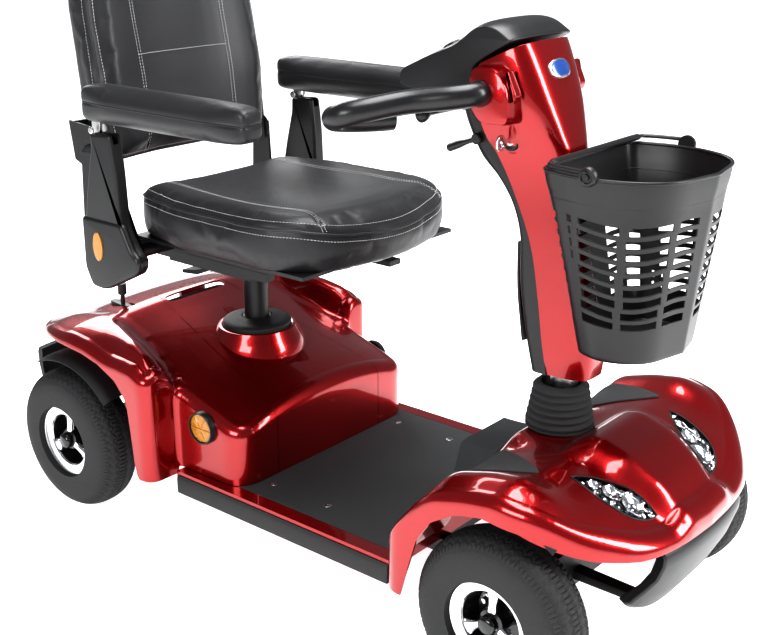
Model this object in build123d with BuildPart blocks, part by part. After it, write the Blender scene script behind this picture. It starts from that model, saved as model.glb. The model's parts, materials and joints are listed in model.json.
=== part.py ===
from build123d import *
import os
from math import cos, radians, sin

# A compact four-wheel mobility scooter. +X is the driving direction, +Y the driver's left,
# +Z up. The origin is on the ground under the middle of the scooter.
os.makedirs("parts", exist_ok=True)

# ---------------------------------------------------------------- driving dimensions (mm)
front_axle_x = 444
rear_axle_x = -490
wheel_radius = 130
tyre_width = 85
track_half = 250
tyre_wall = 9
rim_radius = 66
front_stub_radius = 8
rear_shaft_radius = 12
kingpin_y = 190
kingpin_radius = 7

rail_y = 110
rail_size = 25
rail_low = 97
rear_rail_low = 172
tube_wall = 3

deck_top = 126
deck_half_width = 237
deck_front = 235
deck_rear = -240
mat_thickness = 5
mat_half_width = 211
mat_rear = -116
strip_thickness = 4

shell_wall = 4
body_half_width = 220
fender_half_width = 285
body_inner_half = 194

steer_x = 372
steer_shaft_radius = 14
head_tube_wall = 9
head_tube_low = 172
head_tube_top = 300
pitman_length = 55
knuckle_arm_length = 70
arm_level = 146
arm_thickness = 8
ball_radius = 4
rod_radius = 4
eye_radius = 9

tilt_x = 384
tilt_z = 412
tilt_pin_radius = 6

seat_x = -274
seat_post_radius = 22
seat_tube_wall = 4
seat_tube_top = 345
pedestal_radius = 60
pedestal_z = 324
seat_plate_z = 455
rail_gap = 0.5
pan_z = 512
pan_thickness = 6
cushion_top = 600
cushion_front = 83
cushion_rear = -380
cushion_half_width = 213

back_hinge_x = -455
back_hinge_z = 640
back_top = 1030
back_half_width = 197
hinge_pin_radius = 6

arm_inner = 202.5
arm_outer = 252
arm_front = -30
arm_rear = -411
arm_top = 777
arm_bottom = 717
arm_pivot_x = -385
arm_pivot_z = 705
arm_post_inner = 225
arm_tube_x = -365
arm_tube_z = 492
arm_tube_radius = 11

basket_floor = 455
basket_rim = 727
basket_wall = 3

running = 0.05
gap = 0.3
seat_gap = 0.2

axle_z = wheel_radius
SIDES = (("left", 1), ("right", -1))


# ---------------------------------------------------------------- shared helpers
def save(piece, name):
    """Label a finished piece and write it as its own STEP file."""
    piece.part.label = name
    export_step(piece.part, f"parts/{name}.step")


def slab(points, low, high, mode=Mode.ADD):
    """A side-view outline in X and Z, as thick as the stretch of Y from low to high."""
    with BuildSketch(Plane.XZ.offset(-high)) as outline:
        with BuildLine():
            Polyline(*points, close=True)
        make_face()
    extrude(outline.sketch, amount=high - low, mode=mode)


def mirrored_slabs(points, low, high, mode=Mode.ADD):
    """The same slab on the left and on the right of the middle plane."""
    slab(points, low, high, mode)
    slab(points, -high, -low, mode)


def block(x, y, z, mode=Mode.ADD):
    """A box given by its stretch along each axis."""
    with Locations(((x[0] + x[1]) / 2, (y[0] + y[1]) / 2, (z[0] + z[1]) / 2)):
        Box(x[1] - x[0], y[1] - y[0], z[1] - z[0], mode=mode)


def rod(start, end, radius, mode=Mode.ADD):
    """A round bar from one point to another."""
    path = Vector(*end) - Vector(*start)
    with BuildSketch(Plane(origin=start, z_dir=path)) as section:
        Circle(radius)
    extrude(section.sketch, amount=path.length, mode=mode)


def ring(start, end, outer, inner):
    """A round tube from one point to another."""
    path = Vector(*end) - Vector(*start)
    with BuildSketch(Plane(origin=start, z_dir=path)) as section:
        Circle(outer)
        Circle(inner, mode=Mode.SUBTRACT)
    extrude(section.sketch, amount=path.length)


def wheel_plane(x, side):
    """A plane whose x runs along the wheel's radius and whose y runs outboard along its axle."""
    return Plane(origin=(x, side * track_half, axle_z), x_dir=(1, 0, 0), z_dir=(0, 0, side))


def wheel_axis(x, side):
    return Axis((x, side * track_half, axle_z), (0, side, 0))


def spin(points, x, side, mode=Mode.ADD):
    """Turn a closed outline of (radius, outboard distance) points about a wheel's axle."""
    with BuildSketch(wheel_plane(x, side)) as outline:
        with BuildLine():
            Polyline(*points, close=True)
        make_face()
    revolve(outline.sketch, axis=wheel_axis(x, side), mode=mode)


# ---------------------------------------------------------------- wheels
half_tread = tyre_width / 2
bead_radius = rim_radius + 0.1
tyre_places = (("front", front_axle_x), ("rear", rear_axle_x))
for end, axle_x in tyre_places:
    for side_name, side in SIDES:
        # The tyre is a hollow carcass that is open at the rim, between its two beads.
        with BuildPart() as tyre:
            with BuildSketch(wheel_plane(axle_x, side)) as carcass:
                with BuildLine():
                    shoulder = wheel_radius - 10
                    middle = (bead_radius + wheel_radius) / 2
                    ThreePointArc((bead_radius, 34), (middle, half_tread), (shoulder, half_tread - 4))
                    ThreePointArc(
                        (shoulder, half_tread - 4), (wheel_radius, 0), (shoulder, 4 - half_tread)
                    )
                    ThreePointArc(
                        (shoulder, 4 - half_tread), (middle, -half_tread), (bead_radius, -34)
                    )
                    Line((bead_radius, -34), (bead_radius, -34 + tyre_wall))
                    ThreePointArc(
                        (bead_radius, -34 + tyre_wall),
                        (wheel_radius - tyre_wall, 0),
                        (bead_radius, 34 - tyre_wall),
                    )
                    Line((bead_radius, 34 - tyre_wall), (bead_radius, 34))
                make_face()
            revolve(carcass.sketch, axis=wheel_axis(axle_x, side))
        save(tyre, f"tyre_{end}_{side_name}")

        bore = (front_stub_radius if end == "front" else 0) + running
        spoke_outer = rim_radius - 5
        # The wheel is a barrel with a bright outer ring, three spokes, a web and a hub.
        with BuildPart() as wheel:
            spin([(spoke_outer, -34), (rim_radius, -34), (rim_radius, 34), (spoke_outer, 34)], axle_x, side)
            spin([(47, 22), (rim_radius, 22), (rim_radius, 27), (47, 27)], axle_x, side)
            spin([(18, -8), (rim_radius - 2, -8), (rim_radius - 2, -3), (18, -3)], axle_x, side)
            if end == "front":
                spin([(bore, -36), (20, -36), (20, 22), (bore, 22)], axle_x, side)
                # The cap closes the hub over the axle nut.
                spin([(13, 22), (18, 22), (18, 38), (0, 38), (0, 35), (13, 35)], axle_x, side)
            else:
                spin([(0, -36), (20, -36), (20, 30), (0, 30)], axle_x, side)
                # The half shaft is keyed into the hub and turns with the wheel.
                shaft_end = -(track_half - 60)
                spin(
                    [(0, shaft_end), (rear_shaft_radius, shaft_end), (rear_shaft_radius, -36), (0, -36)],
                    axle_x,
                    side,
                )
            hub = Plane(origin=(axle_x, side * (track_half + 12), axle_z), z_dir=(0, side, 0))
            with BuildSketch(hub) as spokes:
                with PolarLocations(33, 3, start_angle=90):
                    Rectangle(32, 15)
            extrude(spokes.sketch, amount=11)
        save(wheel, f"wheel_{end}_{side_name}")

# ---------------------------------------------------------------- frame
beam_low = arm_level - 43
beam_high = arm_level + 23
kingpin_low = beam_low + 8.5
kingpin_high = beam_high - 8.5
rail_in = rail_size / 2 - tube_wall
rear_end = rear_axle_x - 100
with BuildPart() as main_frame:
    for side in (1, -1):
        y = side * rail_y
        near, far = y - rail_size / 2, y + rail_size / 2
        block((seat_x - 16, front_axle_x), (near, far), (rail_low, rail_low + rail_size))
        block((rear_end, seat_x + 9), (near, far), (rear_rail_low, rear_rail_low + rail_size))
        block((seat_x - 16, seat_x + 9), (near, far), (rail_low, rear_rail_low + rail_size))
        # The anti-tip bracket hangs from the end of each rear rail and carries a small wheel's pin.
        slab(
            [
                (rear_end + 30, rear_rail_low + 10),
                (rear_end, rear_rail_low + 10),
                (rear_end - 18, 40),
                (rear_end + 4, 34),
            ],
            y - 4,
            y + 4,
        )
        rod((rear_end - 7, y, 47), (rear_end - 7, y + side * 32, 47), 5)
        rod((rear_end - 7, y + side * 28.5, 47), (rear_end - 7, y + side * 32, 47), 9)
    for cross in (deck_front - 30, mat_rear + 60):
        block((cross, cross + rail_size), (-rail_y, rail_y), (rail_low, rail_low + rail_size))
    block((seat_x - 16, seat_x + 16), (-rail_y, rail_y), (rail_low, rail_low + rail_size))
    block((seat_x - 16, seat_x + 9), (-rail_y, rail_y), (rear_rail_low, rear_rail_low + rail_size))
    block((rear_end, rear_end + rail_size), (-rail_y, rail_y), (rear_rail_low, rear_rail_low + rail_size))
    # Hollow the two long rails and their rear stretch.
    for side in (1, -1):
        y = side * rail_y
        block(
            (seat_x + 20, front_axle_x - 20),
            (y - rail_in, y + rail_in),
            (rail_low + tube_wall, rail_low + rail_size - tube_wall),
            Mode.SUBTRACT,
        )
        block(
            (rear_end + rail_size, seat_x - 20),
            (y - rail_in, y + rail_in),
            (rear_rail_low + tube_wall, rear_rail_low + rail_size - tube_wall),
            Mode.SUBTRACT,
        )
    # Front axle beam with a fork and a kingpin at each end.
    beam_half = kingpin_y - 20
    block((front_axle_x - 15, front_axle_x + 15), (-beam_half, beam_half), (beam_low, beam_high))
    block(
        (front_axle_x - 12, front_axle_x + 12), (-beam_half + 5, beam_half - 5), (beam_low + 3, beam_high - 3),
        Mode.SUBTRACT,
    )
    for side in (1, -1):
        y = side * kingpin_y
        fork = sorted((y - side * 21, y + side * 13))
        block((front_axle_x - 15, front_axle_x + 15), fork, (beam_low, beam_low + 8))
        block((front_axle_x - 15, front_axle_x + 15), fork, (beam_high - 8, beam_high))
        rod((front_axle_x, y, beam_low), (front_axle_x, y, beam_high), kingpin_radius)
    # Head tube on a gusset that rises from the beam.
    slab(
        [
            (front_axle_x - 15, beam_high),
            (front_axle_x + 15, beam_high),
            (front_axle_x + 10, beam_high + 30),
            (steer_x + 20, head_tube_top - 10),
            (steer_x, head_tube_top - 10),
            (steer_x, head_tube_low + 4),
        ],
        -16,
        16,
    )
    rod(
        (steer_x, 0, head_tube_low), (steer_x, 0, head_tube_top), steer_shaft_radius + head_tube_wall
    )
    rod(
        (steer_x, 0, head_tube_low - 1),
        (steer_x, 0, head_tube_top + 1),
        steer_shaft_radius + running,
        Mode.SUBTRACT,
    )
    # Seat post tube.
    rod((seat_x, 0, rail_low), (seat_x, 0, seat_tube_top), seat_post_radius + seat_tube_wall)
    rod(
        (seat_x, 0, rail_low + 10),
        (seat_x, 0, seat_tube_top + 1),
        seat_post_radius + running,
        Mode.SUBTRACT,
    )
save(main_frame, "main_frame")

# ---------------------------------------------------------------- drive and electrics
housing_half = track_half - 104
with BuildPart() as transaxle:
    block((rear_axle_x - 50, rear_axle_x + 50), (-58, 58), (82, rear_rail_low - 6))
    rod((rear_axle_x, -housing_half, axle_z), (rear_axle_x, housing_half, axle_z), 27)
    for side in (1, -1):
        pad = sorted((side * (rail_y - 12), side * (rail_y + 12)))
        block((rear_axle_x - 30, rear_axle_x + 30), pad, (axle_z, rear_rail_low - seat_gap))
    rod((rear_axle_x + 48, 0, axle_z), (rear_axle_x + 152, 0, axle_z), 36)
    rod((rear_axle_x + 150, 0, axle_z), (rear_axle_x + 166, 0, axle_z), 24)
    for side in (1, -1):
        rod(
            (rear_axle_x, side * 55, axle_z),
            (rear_axle_x, side * (housing_half + 1), axle_z),
            rear_shaft_radius + running,
            Mode.SUBTRACT,
        )
save(transaxle, "transaxle")

rear_rail_top = rear_rail_low + rail_size
with BuildPart() as battery_pack:
    for side in (1, -1):
        cell = sorted((side * 2, side * 152))
        block((rear_axle_x + 20, seat_x - 36), cell, (rear_rail_top + seat_gap, rear_rail_top + 88))
        handle = sorted((side * 60, side * 94))
        block((rear_axle_x + 90, seat_x - 110), handle, (rear_rail_top + 84, rear_rail_top + 98))
    block((rear_axle_x + 30, seat_x - 46), (-3, 3), (rear_rail_top + 10, rear_rail_top + 70))
save(battery_pack, "battery_pack")

with BuildPart() as controller:
    block((rear_end + 8, rear_end + 98), (-70, 70), (rear_rail_top + seat_gap, rear_rail_top + 42))
    with Locations(*[(rear_end + 20 + 11 * n, 0, rear_rail_top + 45) for n in range(7)]):
        Box(4, 120, 8)
save(controller, "controller")

# ---------------------------------------------------------------- floor
with BuildPart() as floor_pan:
    block((deck_rear, deck_front), (-deck_half_width, deck_half_width), (deck_top - 4, deck_top))
    for side in (1, -1):
        sill = sorted((side * (mat_half_width + 1), side * deck_half_width))
        skirt = sorted((side * (deck_half_width - 4), side * deck_half_width))
        block((deck_rear, deck_front), sill, (deck_top - 2, deck_top + 5))
        block((deck_rear, deck_front), skirt, (92, deck_top))
save(floor_pan, "floor_pan")

with BuildPart() as side_strips:
    for side in (1, -1):
        skin = sorted(
            (side * (deck_half_width + seat_gap), side * (deck_half_width + seat_gap + strip_thickness))
        )
        block((deck_rear + 3, deck_front - 3), skin, (92, deck_top - 2))
save(side_strips, "side_strips")

# The nose panel's rear face, as the points of a foot ramp from the floor up to the fender top.
ramp = [(240, 118), (246, 150), (262, 200), (300, 262), (345, 305), (395, 332)]
mat_z = deck_top + seat_gap
screw_spots = [(x, y) for x in (mat_rear + 40, 45, deck_front - 45) for y in (-165, 165)]
screw_seat = 1.5
screw_head_radius = 7
with BuildPart() as deck_mat:
    block((mat_rear, deck_front - 1), (-mat_half_width, mat_half_width), (mat_z, mat_z + mat_thickness))
    # A tongue of the mat climbs each foot ramp and thins to a point at the top.
    lifted = [(x - 4.4, z + 2.2) for x, z in ramp[1:]]
    bottom = [(x - 0.4, z + 0.2) for x, z in ramp[1:]]
    mirrored_slabs(
        [(deck_front - 5, mat_z), (deck_front - 5, mat_z + mat_thickness), *lifted, *reversed(bottom),
         (deck_front + 5, mat_z)],
        148,
        207,
    )
    # Each screw's head lies sunk in the mat.
    for x, y in screw_spots:
        mat_high = mat_z + mat_thickness + 1
        rod((x, y, mat_z + screw_seat), (x, y, mat_high), screw_head_radius + gap, Mode.SUBTRACT)
save(deck_mat, "deck_mat")

with BuildPart() as deck_screws:
    for x, y in screw_spots:
        rod((x, y, mat_z + screw_seat + 0.2), (x, y, mat_z + mat_thickness - 0.2), screw_head_radius)
save(deck_screws, "deck_screws")

# ---------------------------------------------------------------- rear body
body_low = deck_top + seat_gap + 5.1
body_top = [(-106, 232), (-118, 252), (-150, 270), (-274, 306), (-400, 344), (-452, 362), (-526, 350)]
lowered_top = [(x - 3, z - shell_wall) for x, z in body_top]
body_outline = [
    (-118, body_low), *body_top, (-600, 322), (-630, 304), (-630, 296), (-614, 290), (-606, 160),
    (-500, 160), (-320, body_low),
]
body_cavity = [
    (-123, body_low - 1), *lowered_top, (-598, 318), (-610, 306), (-609, 290), (-602, 159), (-500, 159),
    (-320, body_low - 1),
]
front_hollow = [(-123, body_low - 1), *lowered_top[:3], (-247, 294), (-247, body_low - 1)]
fender_outline = [
    (-251, 117), (-251, 240), (-262, 275), (-300, 308), (-360, 330), (-440, 348), (-526, 345),
    (-600, 320), (-628, 304), (-628, 282), (-600, 270), (-306, 200), (-306, 142), (-286, 117),
]
fender_cavity = [
    (-306, 100), (-306, 142), (-290, 240), (-300, 290), (-360, 325), (-440, 343), (-526, 340),
    (-600, 314), (-612, 290), (-640, 100),
]
arch = [
    (-290, 100), (-306, 142), (-306, 240), (-330, 274), (-367, 294), (-429, 310), (-495, 322), (-560, 312),
    (-640, 288), (-640, 100),
]
lid_rear = -470
lid_front = -170
lid_half = 100
with BuildPart() as rear_body:
    slab(body_outline, -body_half_width, body_half_width)
    mirrored_slabs(fender_outline, body_half_width - 30, fender_half_width)
    # The body is an open shell: a wide hollow in front of the wheels, a narrower one between them.
    slab(body_cavity, -body_inner_half, body_inner_half, Mode.SUBTRACT)
    mirrored_slabs(
        front_hollow, body_inner_half - 1, body_half_width - shell_wall, Mode.SUBTRACT
    )
    mirrored_slabs(fender_cavity, body_inner_half + shell_wall, fender_half_width - shell_wall, Mode.SUBTRACT)
    mirrored_slabs(arch, fender_half_width - shell_wall - 1, fender_half_width + 5, Mode.SUBTRACT)
    # The lid's opening in the top, and the freewheel lever's slot beside it.
    block((lid_rear, lid_front), (-lid_half, lid_half), (200, 400), Mode.SUBTRACT)
    block((-522, -462), (-139, -121), (300, 400), Mode.SUBTRACT)
save(rear_body, "rear_body")

lid_outline = [
    (lid_front - 1, 276), (-274, 306), (-400, 344), (-452, 362), (lid_rear + 1, 359),
    (lid_rear + 1, 354), (-452, 356.5), (-400, 338.5), (-274, 300.5), (lid_front - 1, 270.5),
]
boss_radius = pedestal_radius + 8
with BuildPart() as rear_lid:
    slab(lid_outline, gap - lid_half, lid_half - gap)
    # A round boss rises from the lid around the seat post.
    with BuildSketch(Plane.XY.offset(298)) as boss_foot:
        with Locations((seat_x, 0)):
            Circle(boss_radius + 4)
    with BuildSketch(Plane.XY.offset(pedestal_z + 4)) as boss_head:
        with Locations((seat_x, 0)):
            Circle(boss_radius - 3)
    loft([boss_foot.sketch, boss_head.sketch])
    rod((seat_x, 0, pedestal_z - gap), (seat_x, 0, 400), pedestal_radius + 1, Mode.SUBTRACT)
    rod((seat_x, 0, 280), (seat_x, 0, 400), seat_post_radius + seat_tube_wall + 4, Mode.SUBTRACT)
    # The handle recess is a slot near the rear edge.
    block((-448, -428), (-70, 70), (340, 400), Mode.SUBTRACT)
save(rear_lid, "rear_lid")

with BuildPart() as seat_pedestal:
    ring(
        (seat_x, 0, pedestal_z),
        (seat_x, 0, pedestal_z + 7),
        pedestal_radius,
        seat_post_radius + seat_tube_wall + seat_gap,
    )
    ring(
        (seat_x, 0, pedestal_z + 7),
        (seat_x, 0, seat_tube_top),
        seat_post_radius + seat_tube_wall + 7,
        seat_post_radius + seat_tube_wall + seat_gap,
    )
    # The clamp's two ears and its bolt face forward and to the right.
    block((seat_x + 28, seat_x + 46), (-12, 12), (pedestal_z + 7, seat_tube_top))
    rod((seat_x + 38, -24, 334), (seat_x + 38, 24, 334), 5)
    rod((seat_x + 38, -24, 334), (seat_x + 38, -16, 334), 9)
save(seat_pedestal, "seat_pedestal")

with BuildPart() as rear_bumper:
    block((-632, -614 - gap), (-225, 225), (205, 268))
    with Locations((-623, -225, 236.5), (-623, 225, 236.5)):
        Cylinder(9 - gap, 63)
save(rear_bumper, "rear_bumper")

with BuildPart() as rear_lights:
    for side in (1, -1):
        block((-628, -614 - gap), sorted((side * 118, side * 184)), (273, 288))
save(rear_lights, "rear_lights")

reflector_radius = 29
with BuildPart() as side_reflectors:
    for side in (1, -1):
        face = side * body_half_width
        rod((-185, face + side * seat_gap, 222), (-185, face + side * 10, 222), reflector_radius)
save(side_reflectors, "side_reflectors")

# ---------------------------------------------------------------- front nose
nose_low = 229
fender_top = [*ramp, (450, 338), (500, 327), (560, 300), (604, 262), (622, 243), (618, 232), (600, 236)]
fender_arch = [
    (284, 100), (270, 150), (294, 207), (324, 249), (376, 276), (457, 292), (549, 286), (596, 242),
    (640, 228), (640, 100),
]
fender_hollow = [
    (270, 100), (256, 150), (270, 200), (305, 257), (348, 300), (396, 327), (450, 333), (499, 322),
    (557, 296), (600, 258), (612, 240), (612, 100),
]
apron = [
    (240, 124), (262, 160), (300, 236), (345, 282), (400, 300), (480, 302), (550, 278), (600, 250),
    (626, 243), (622, 231), (600, nose_low), (560, nose_low), (250, 124),
]
apron_hollow = [
    (246, 100), (262, 150), (303, 232), (347, 277.5), (401, 295.5), (479, 297.5), (548, 274), (598, 246),
    (612, 234), (612, 100),
]
hood = [
    (300, 225), (318, 300), (326, 312), (427, 314), (441, 334), (474, 339), (524, 322), (574, 290),
    (606, 260), (620, 240), (600, nose_low), (500, nose_low), (330, 225),
]
hood_hollow = [
    (306, 220), (322, 298), (329, 308), (429, 309.5), (443, 329.5), (473, 334.5), (522, 318), (571, 286.5),
    (601, 258), (612, 236), (612, 100), (306, 100),
]


def almond(side, grow, mode=Mode.ADD):
    """The upright prism of one headlight, pointed at both ends, made larger by grow all round."""
    with BuildSketch(Plane.XY.offset(nose_low + 6)) as outline:
        with BuildLine():
            tip = (486 - 2 * grow, side * (143 + grow))
            corner = (578 + 2 * grow, side * (84 - grow))
            ThreePointArc(tip, (550 + grow, side * (132 + grow)), corner)
            ThreePointArc(corner, (526 - grow, side * (100 - grow)), tip)
        make_face()
    extrude(outline.sketch, amount=80, mode=mode)


with BuildPart() as front_cowl:
    slab(apron, -150, 150)
    slab(hood, -82, 82)
    mirrored_slabs([*fender_top, (284, 118)], 138, fender_half_width)
    slab(apron_hollow, -134, 134, Mode.SUBTRACT)
    slab(hood_hollow, -78, 78, Mode.SUBTRACT)
    mirrored_slabs(fender_hollow, 138 + shell_wall, fender_half_width - shell_wall, Mode.SUBTRACT)
    mirrored_slabs(fender_arch, fender_half_width - shell_wall - 1, fender_half_width + 5, Mode.SUBTRACT)
    mirrored_slabs(
        [(284, 100), (284, 200), (640, 200), (640, 100)], 133, 139 + shell_wall, Mode.SUBTRACT
    )
    for side in (1, -1):
        almond(side, gap, Mode.SUBTRACT)
    # The collar's hole, where the steering column comes up inside the bellows.
    rod((steer_x, 0, 280), (steer_x, 0, 330), 38, Mode.SUBTRACT)
save(front_cowl, "front_cowl")

with BuildPart() as front_bumper:
    slab(
        [
            (604, 228), (624, 230), (633, 238), (632, 226), (622, 196), (602, 158), (578, 114), (552, 108),
            (560, 122), (590, 172),
        ],
        -112,
        112,
    )
    # Two straps tie the bumper to the axle beam.
    mirrored_slabs(
        [(front_axle_x + 15 + gap, 112), (556, 112), (560, 122), (front_axle_x + 15 + gap, 134)], 60, 84
    )
save(front_bumper, "front_bumper")

with BuildPart() as headlights:
    for side in (1, -1):
        almond(side, 0)
    # The lens follows the nose and stands a little proud of it.
    slab([(x + 2, z + 5) for x, z in apron], -150, 150, Mode.INTERSECT)
save(headlights, "headlights")

# ---------------------------------------------------------------- steering
rod_level = arm_level + arm_thickness
rod_thickness = 10
pitman_x = steer_x - pitman_length
arm_end_x = front_axle_x - knuckle_arm_length
for side_name, side in SIDES:
    y = side * kingpin_y
    with BuildPart() as knuckle:
        rod((front_axle_x, y, kingpin_low), (front_axle_x, y, kingpin_high), 15)
        rod((front_axle_x, y + side * 10, axle_z), (front_axle_x, side * (track_half - 37), axle_z), 13)
        rod((front_axle_x, y, axle_z), (front_axle_x, side * (track_half + 24), axle_z), front_stub_radius)
        rod(
            (front_axle_x, side * (track_half + 22.5), axle_z),
            (front_axle_x, side * (track_half + 31), axle_z),
            11,
        )
        block((arm_end_x, front_axle_x), (y - 8, y + 8), (arm_level, rod_level))
        rod((arm_end_x, y, arm_level), (arm_end_x, y, rod_level), 11)
        rod(
            (front_axle_x, y, beam_low - 1),
            (front_axle_x, y, beam_high + 1),
            kingpin_radius + running,
            Mode.SUBTRACT,
        )
    save(knuckle, f"knuckle_{side_name}")

    # The tie rod turns on a stud of the column's arm, and its closed outer end slides on the knuckle's arm.
    inner = (pitman_x, side * 13, rod_level + rod_thickness / 2)
    outer = (arm_end_x, y, rod_level + rod_thickness / 2)
    eye_low, eye_high = rod_level + gap, rod_level + rod_thickness
    with BuildPart() as tie_rod:
        rod(inner, outer, rod_radius)
        for x, at, _ in (inner, outer):
            rod((x, at, eye_low), (x, at, eye_high), eye_radius)
        rod((*inner[:2], rod_level - 5), (*inner[:2], eye_high + 5), ball_radius + running, Mode.SUBTRACT)
    save(tie_rod, f"tie_rod_{side_name}")

with BuildPart() as steering_column:
    rod((steer_x, 0, arm_level), (steer_x, 0, tilt_z - 22), steer_shaft_radius)
    rod((steer_x, 0, arm_level), (steer_x, 0, head_tube_low - 1), 20)
    rod((steer_x, 0, head_tube_top + 1), (steer_x, 0, head_tube_top + 8), 20)
    block((pitman_x, steer_x), (-11, 11), (arm_level, rod_level))
    block((pitman_x - 10, pitman_x + 10), (-22, 22), (arm_level, rod_level))
    for side in (1, -1):
        stud = (pitman_x, side * 13)
        rod((*stud, rod_level), (*stud, rod_level + rod_thickness + 2), ball_radius)
    # The tongue at the top carries the tilt pivot.
    block((steer_x - 12, tilt_x + 10), (-12, 12), (tilt_z - 34, tilt_z))
    rod((tilt_x, -12, tilt_z), (tilt_x, 12, tilt_z), 13)
    rod((tilt_x, -13, tilt_z), (tilt_x, 13, tilt_z), tilt_pin_radius + running, Mode.SUBTRACT)
save(steering_column, "steering_column")

bellows_low = 315
bellows_high = 372
folds = 6
pitch = (bellows_high - bellows_low) / folds
with BuildPart() as bellows:
    with BuildSketch(Plane(origin=(steer_x, 0, 0), x_dir=(1, 0, 0), z_dir=(0, -1, 0))) as outline:
        with BuildLine():
            edge = [(26, bellows_low), (52, bellows_low)]
            for fold in range(folds):
                crest = 52 - fold * 2
                edge.append((crest, bellows_low + (fold + 0.5) * pitch))
                edge.append((crest - 6, bellows_low + (fold + 1) * pitch))
            grip_inside = steer_shaft_radius + 0.1
            Polyline(*edge, (grip_inside, bellows_high), (grip_inside, bellows_high - 5),
                     (26, bellows_high - 5), close=True)
        make_face()
    revolve(outline.sketch, axis=Axis((steer_x, 0, 0), (0, 0, 1)))
save(bellows, "bellows")

# ---------------------------------------------------------------- tiller
bar_x = 280
bar_z = 812
bar_core_radius = 11
grip_radius = 17
head_half = 74
tiller_half = 36
cover_half = 33
front_edge = [(431, 405), (433, 455), (405, 600), (383, 732), (374, 759), (348, 832), (334, 865), (322, 884)]
split = [(362, 402), (356, 454), (347, 514), (337, 572), (317, 636), (290, 689), (262, 751), (250, 790)]
rear_edge = [
    (337, 398), (322, 460), (309, 540), (309, 596), (296, 640), (272, 676), (238, 705), (208, 759), (196, 789),
]
plate_low, plate_high = 620, 700
with BuildPart() as tiller_frame:
    top = (300, 0, 796)
    path = Vector(*top) - Vector(tilt_x, 0, tilt_z + 20)
    with BuildSketch(Plane(origin=(tilt_x, 0, tilt_z + 20), x_dir=(0, 1, 0), z_dir=path)) as tube:
        Rectangle(26, 26)
        Rectangle(20, 20, mode=Mode.SUBTRACT)
    extrude(tube.sketch, amount=path.length)
    cheek = [
        (tilt_x - 13, tilt_z - 10), (tilt_x + 13, tilt_z - 10), (tilt_x + 12, tilt_z + 40),
        (tilt_x - 20, tilt_z + 40),
    ]
    mirrored_slabs(cheek, 12.5, 17)
    rod((tilt_x, -17, tilt_z), (tilt_x, 17, tilt_z), tilt_pin_radius)
    # The cradle holds the handlebar's straight middle.
    block((bar_x - 14, bar_x + 34), (-20, 20), (bar_z - 28, bar_z - bar_core_radius - 3))
    block((bar_x - 14, bar_x + 18), (-20, 20), (bar_z - 16, bar_z + 16))
    rod((bar_x, -21, bar_z), (bar_x, 21, bar_z), bar_core_radius + seat_gap, Mode.SUBTRACT)
    # The basket's bracket stands in front of the shroud on two arms.
    slab([(403.5, plate_low), (407.5, plate_low), (394, plate_high), (390, plate_high)], -28, 28)
    slab([(350, 634), (404, 634), (403, 642), (346, 642)], -9, 9)
    slab([(334, 682), (395, 682), (394, 690), (330, 690)], -9, 9)
save(tiller_frame, "tiller_frame")

hollow_front = [(x - 5, z) for x, z in front_edge]
switch_spot = (300, 742)
socket_spot = (318, 746)
head_outline = [(376, 755), (348, 832), (334, 865), (322, 884), (300, 872), (258, 846), (257, 775)]
with BuildPart() as tiller_shroud:
    slab([*front_edge, (300, 872), (258, 846), *reversed(split)], -tiller_half, tiller_half)
    slab(head_outline, -head_half, head_half)
    mirrored_slabs(
        [(322, 775), (322, 812), (302, 846), (284, 848), (256, 826), (256, 798), (278, 775)], head_half - 2, 96
    )
    slab(
        [(426, 395), *hollow_front[1:-1], (314, 872), (300, 866), (264, 842), (256, 786), (200, 700),
         (300, 395)],
        -tiller_half + 3.5,
        tiller_half - 3.5,
        Mode.SUBTRACT,
    )
    slab(
        [(368, 759), (344, 829), (330, 861), (319, 876), (303, 868), (264, 843), (262, 759)],
        -head_half + 4,
        head_half - 4,
        Mode.SUBTRACT,
    )
    rod((switch_spot[0], 4 - tiller_half, switch_spot[1]), (switch_spot[0], -46, switch_spot[1]), 20)
    rod((socket_spot[0], tiller_half - 4, socket_spot[1]), (socket_spot[0], 50, socket_spot[1]), 18)
    rod((bar_x, -100, bar_z), (bar_x, 100, bar_z), bar_core_radius + gap, Mode.SUBTRACT)
    # Two windows let the basket bracket's arms through.
    block((380, 420), (-9.5, 9.5), (633.5, 642.5), Mode.SUBTRACT)
    block((370, 410), (-9.5, 9.5), (681.5, 690.5), Mode.SUBTRACT)
save(tiller_shroud, "tiller_shroud")

cover_front = [(x - 0.8, z) for x, z in split]
with BuildPart() as tiller_rear_cover:
    slab([*cover_front, *reversed(rear_edge)], -cover_half, cover_half)
    inner_edge = [(x + 4, z) for x, z in rear_edge]
    slab(
        [(330, 385), *inner_edge[1:-1], (206, 786), (262, 786), (380, 600), (380, 385)],
        -cover_half + 3,
        cover_half - 3,
        Mode.SUBTRACT,
    )
save(tiller_rear_cover, "tiller_rear_cover")

console_slope = 27
console_half = 78
panel_plane = Plane(
    origin=(165, 0, 850.9),
    x_dir=(cos(radians(console_slope)), 0, sin(radians(console_slope))),
    z_dir=(-sin(radians(console_slope)), 0, cos(radians(console_slope))),
)


def on_panel(across, low, high, radius, mode=Mode.ADD):
    """A round boss or pocket square to the console's sloping top, at a distance across it."""
    with BuildSketch(panel_plane.offset(low)) as disc:
        with Locations((0, across)):
            Circle(radius)
    extrude(disc.sketch, amount=high - low, mode=mode)


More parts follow.
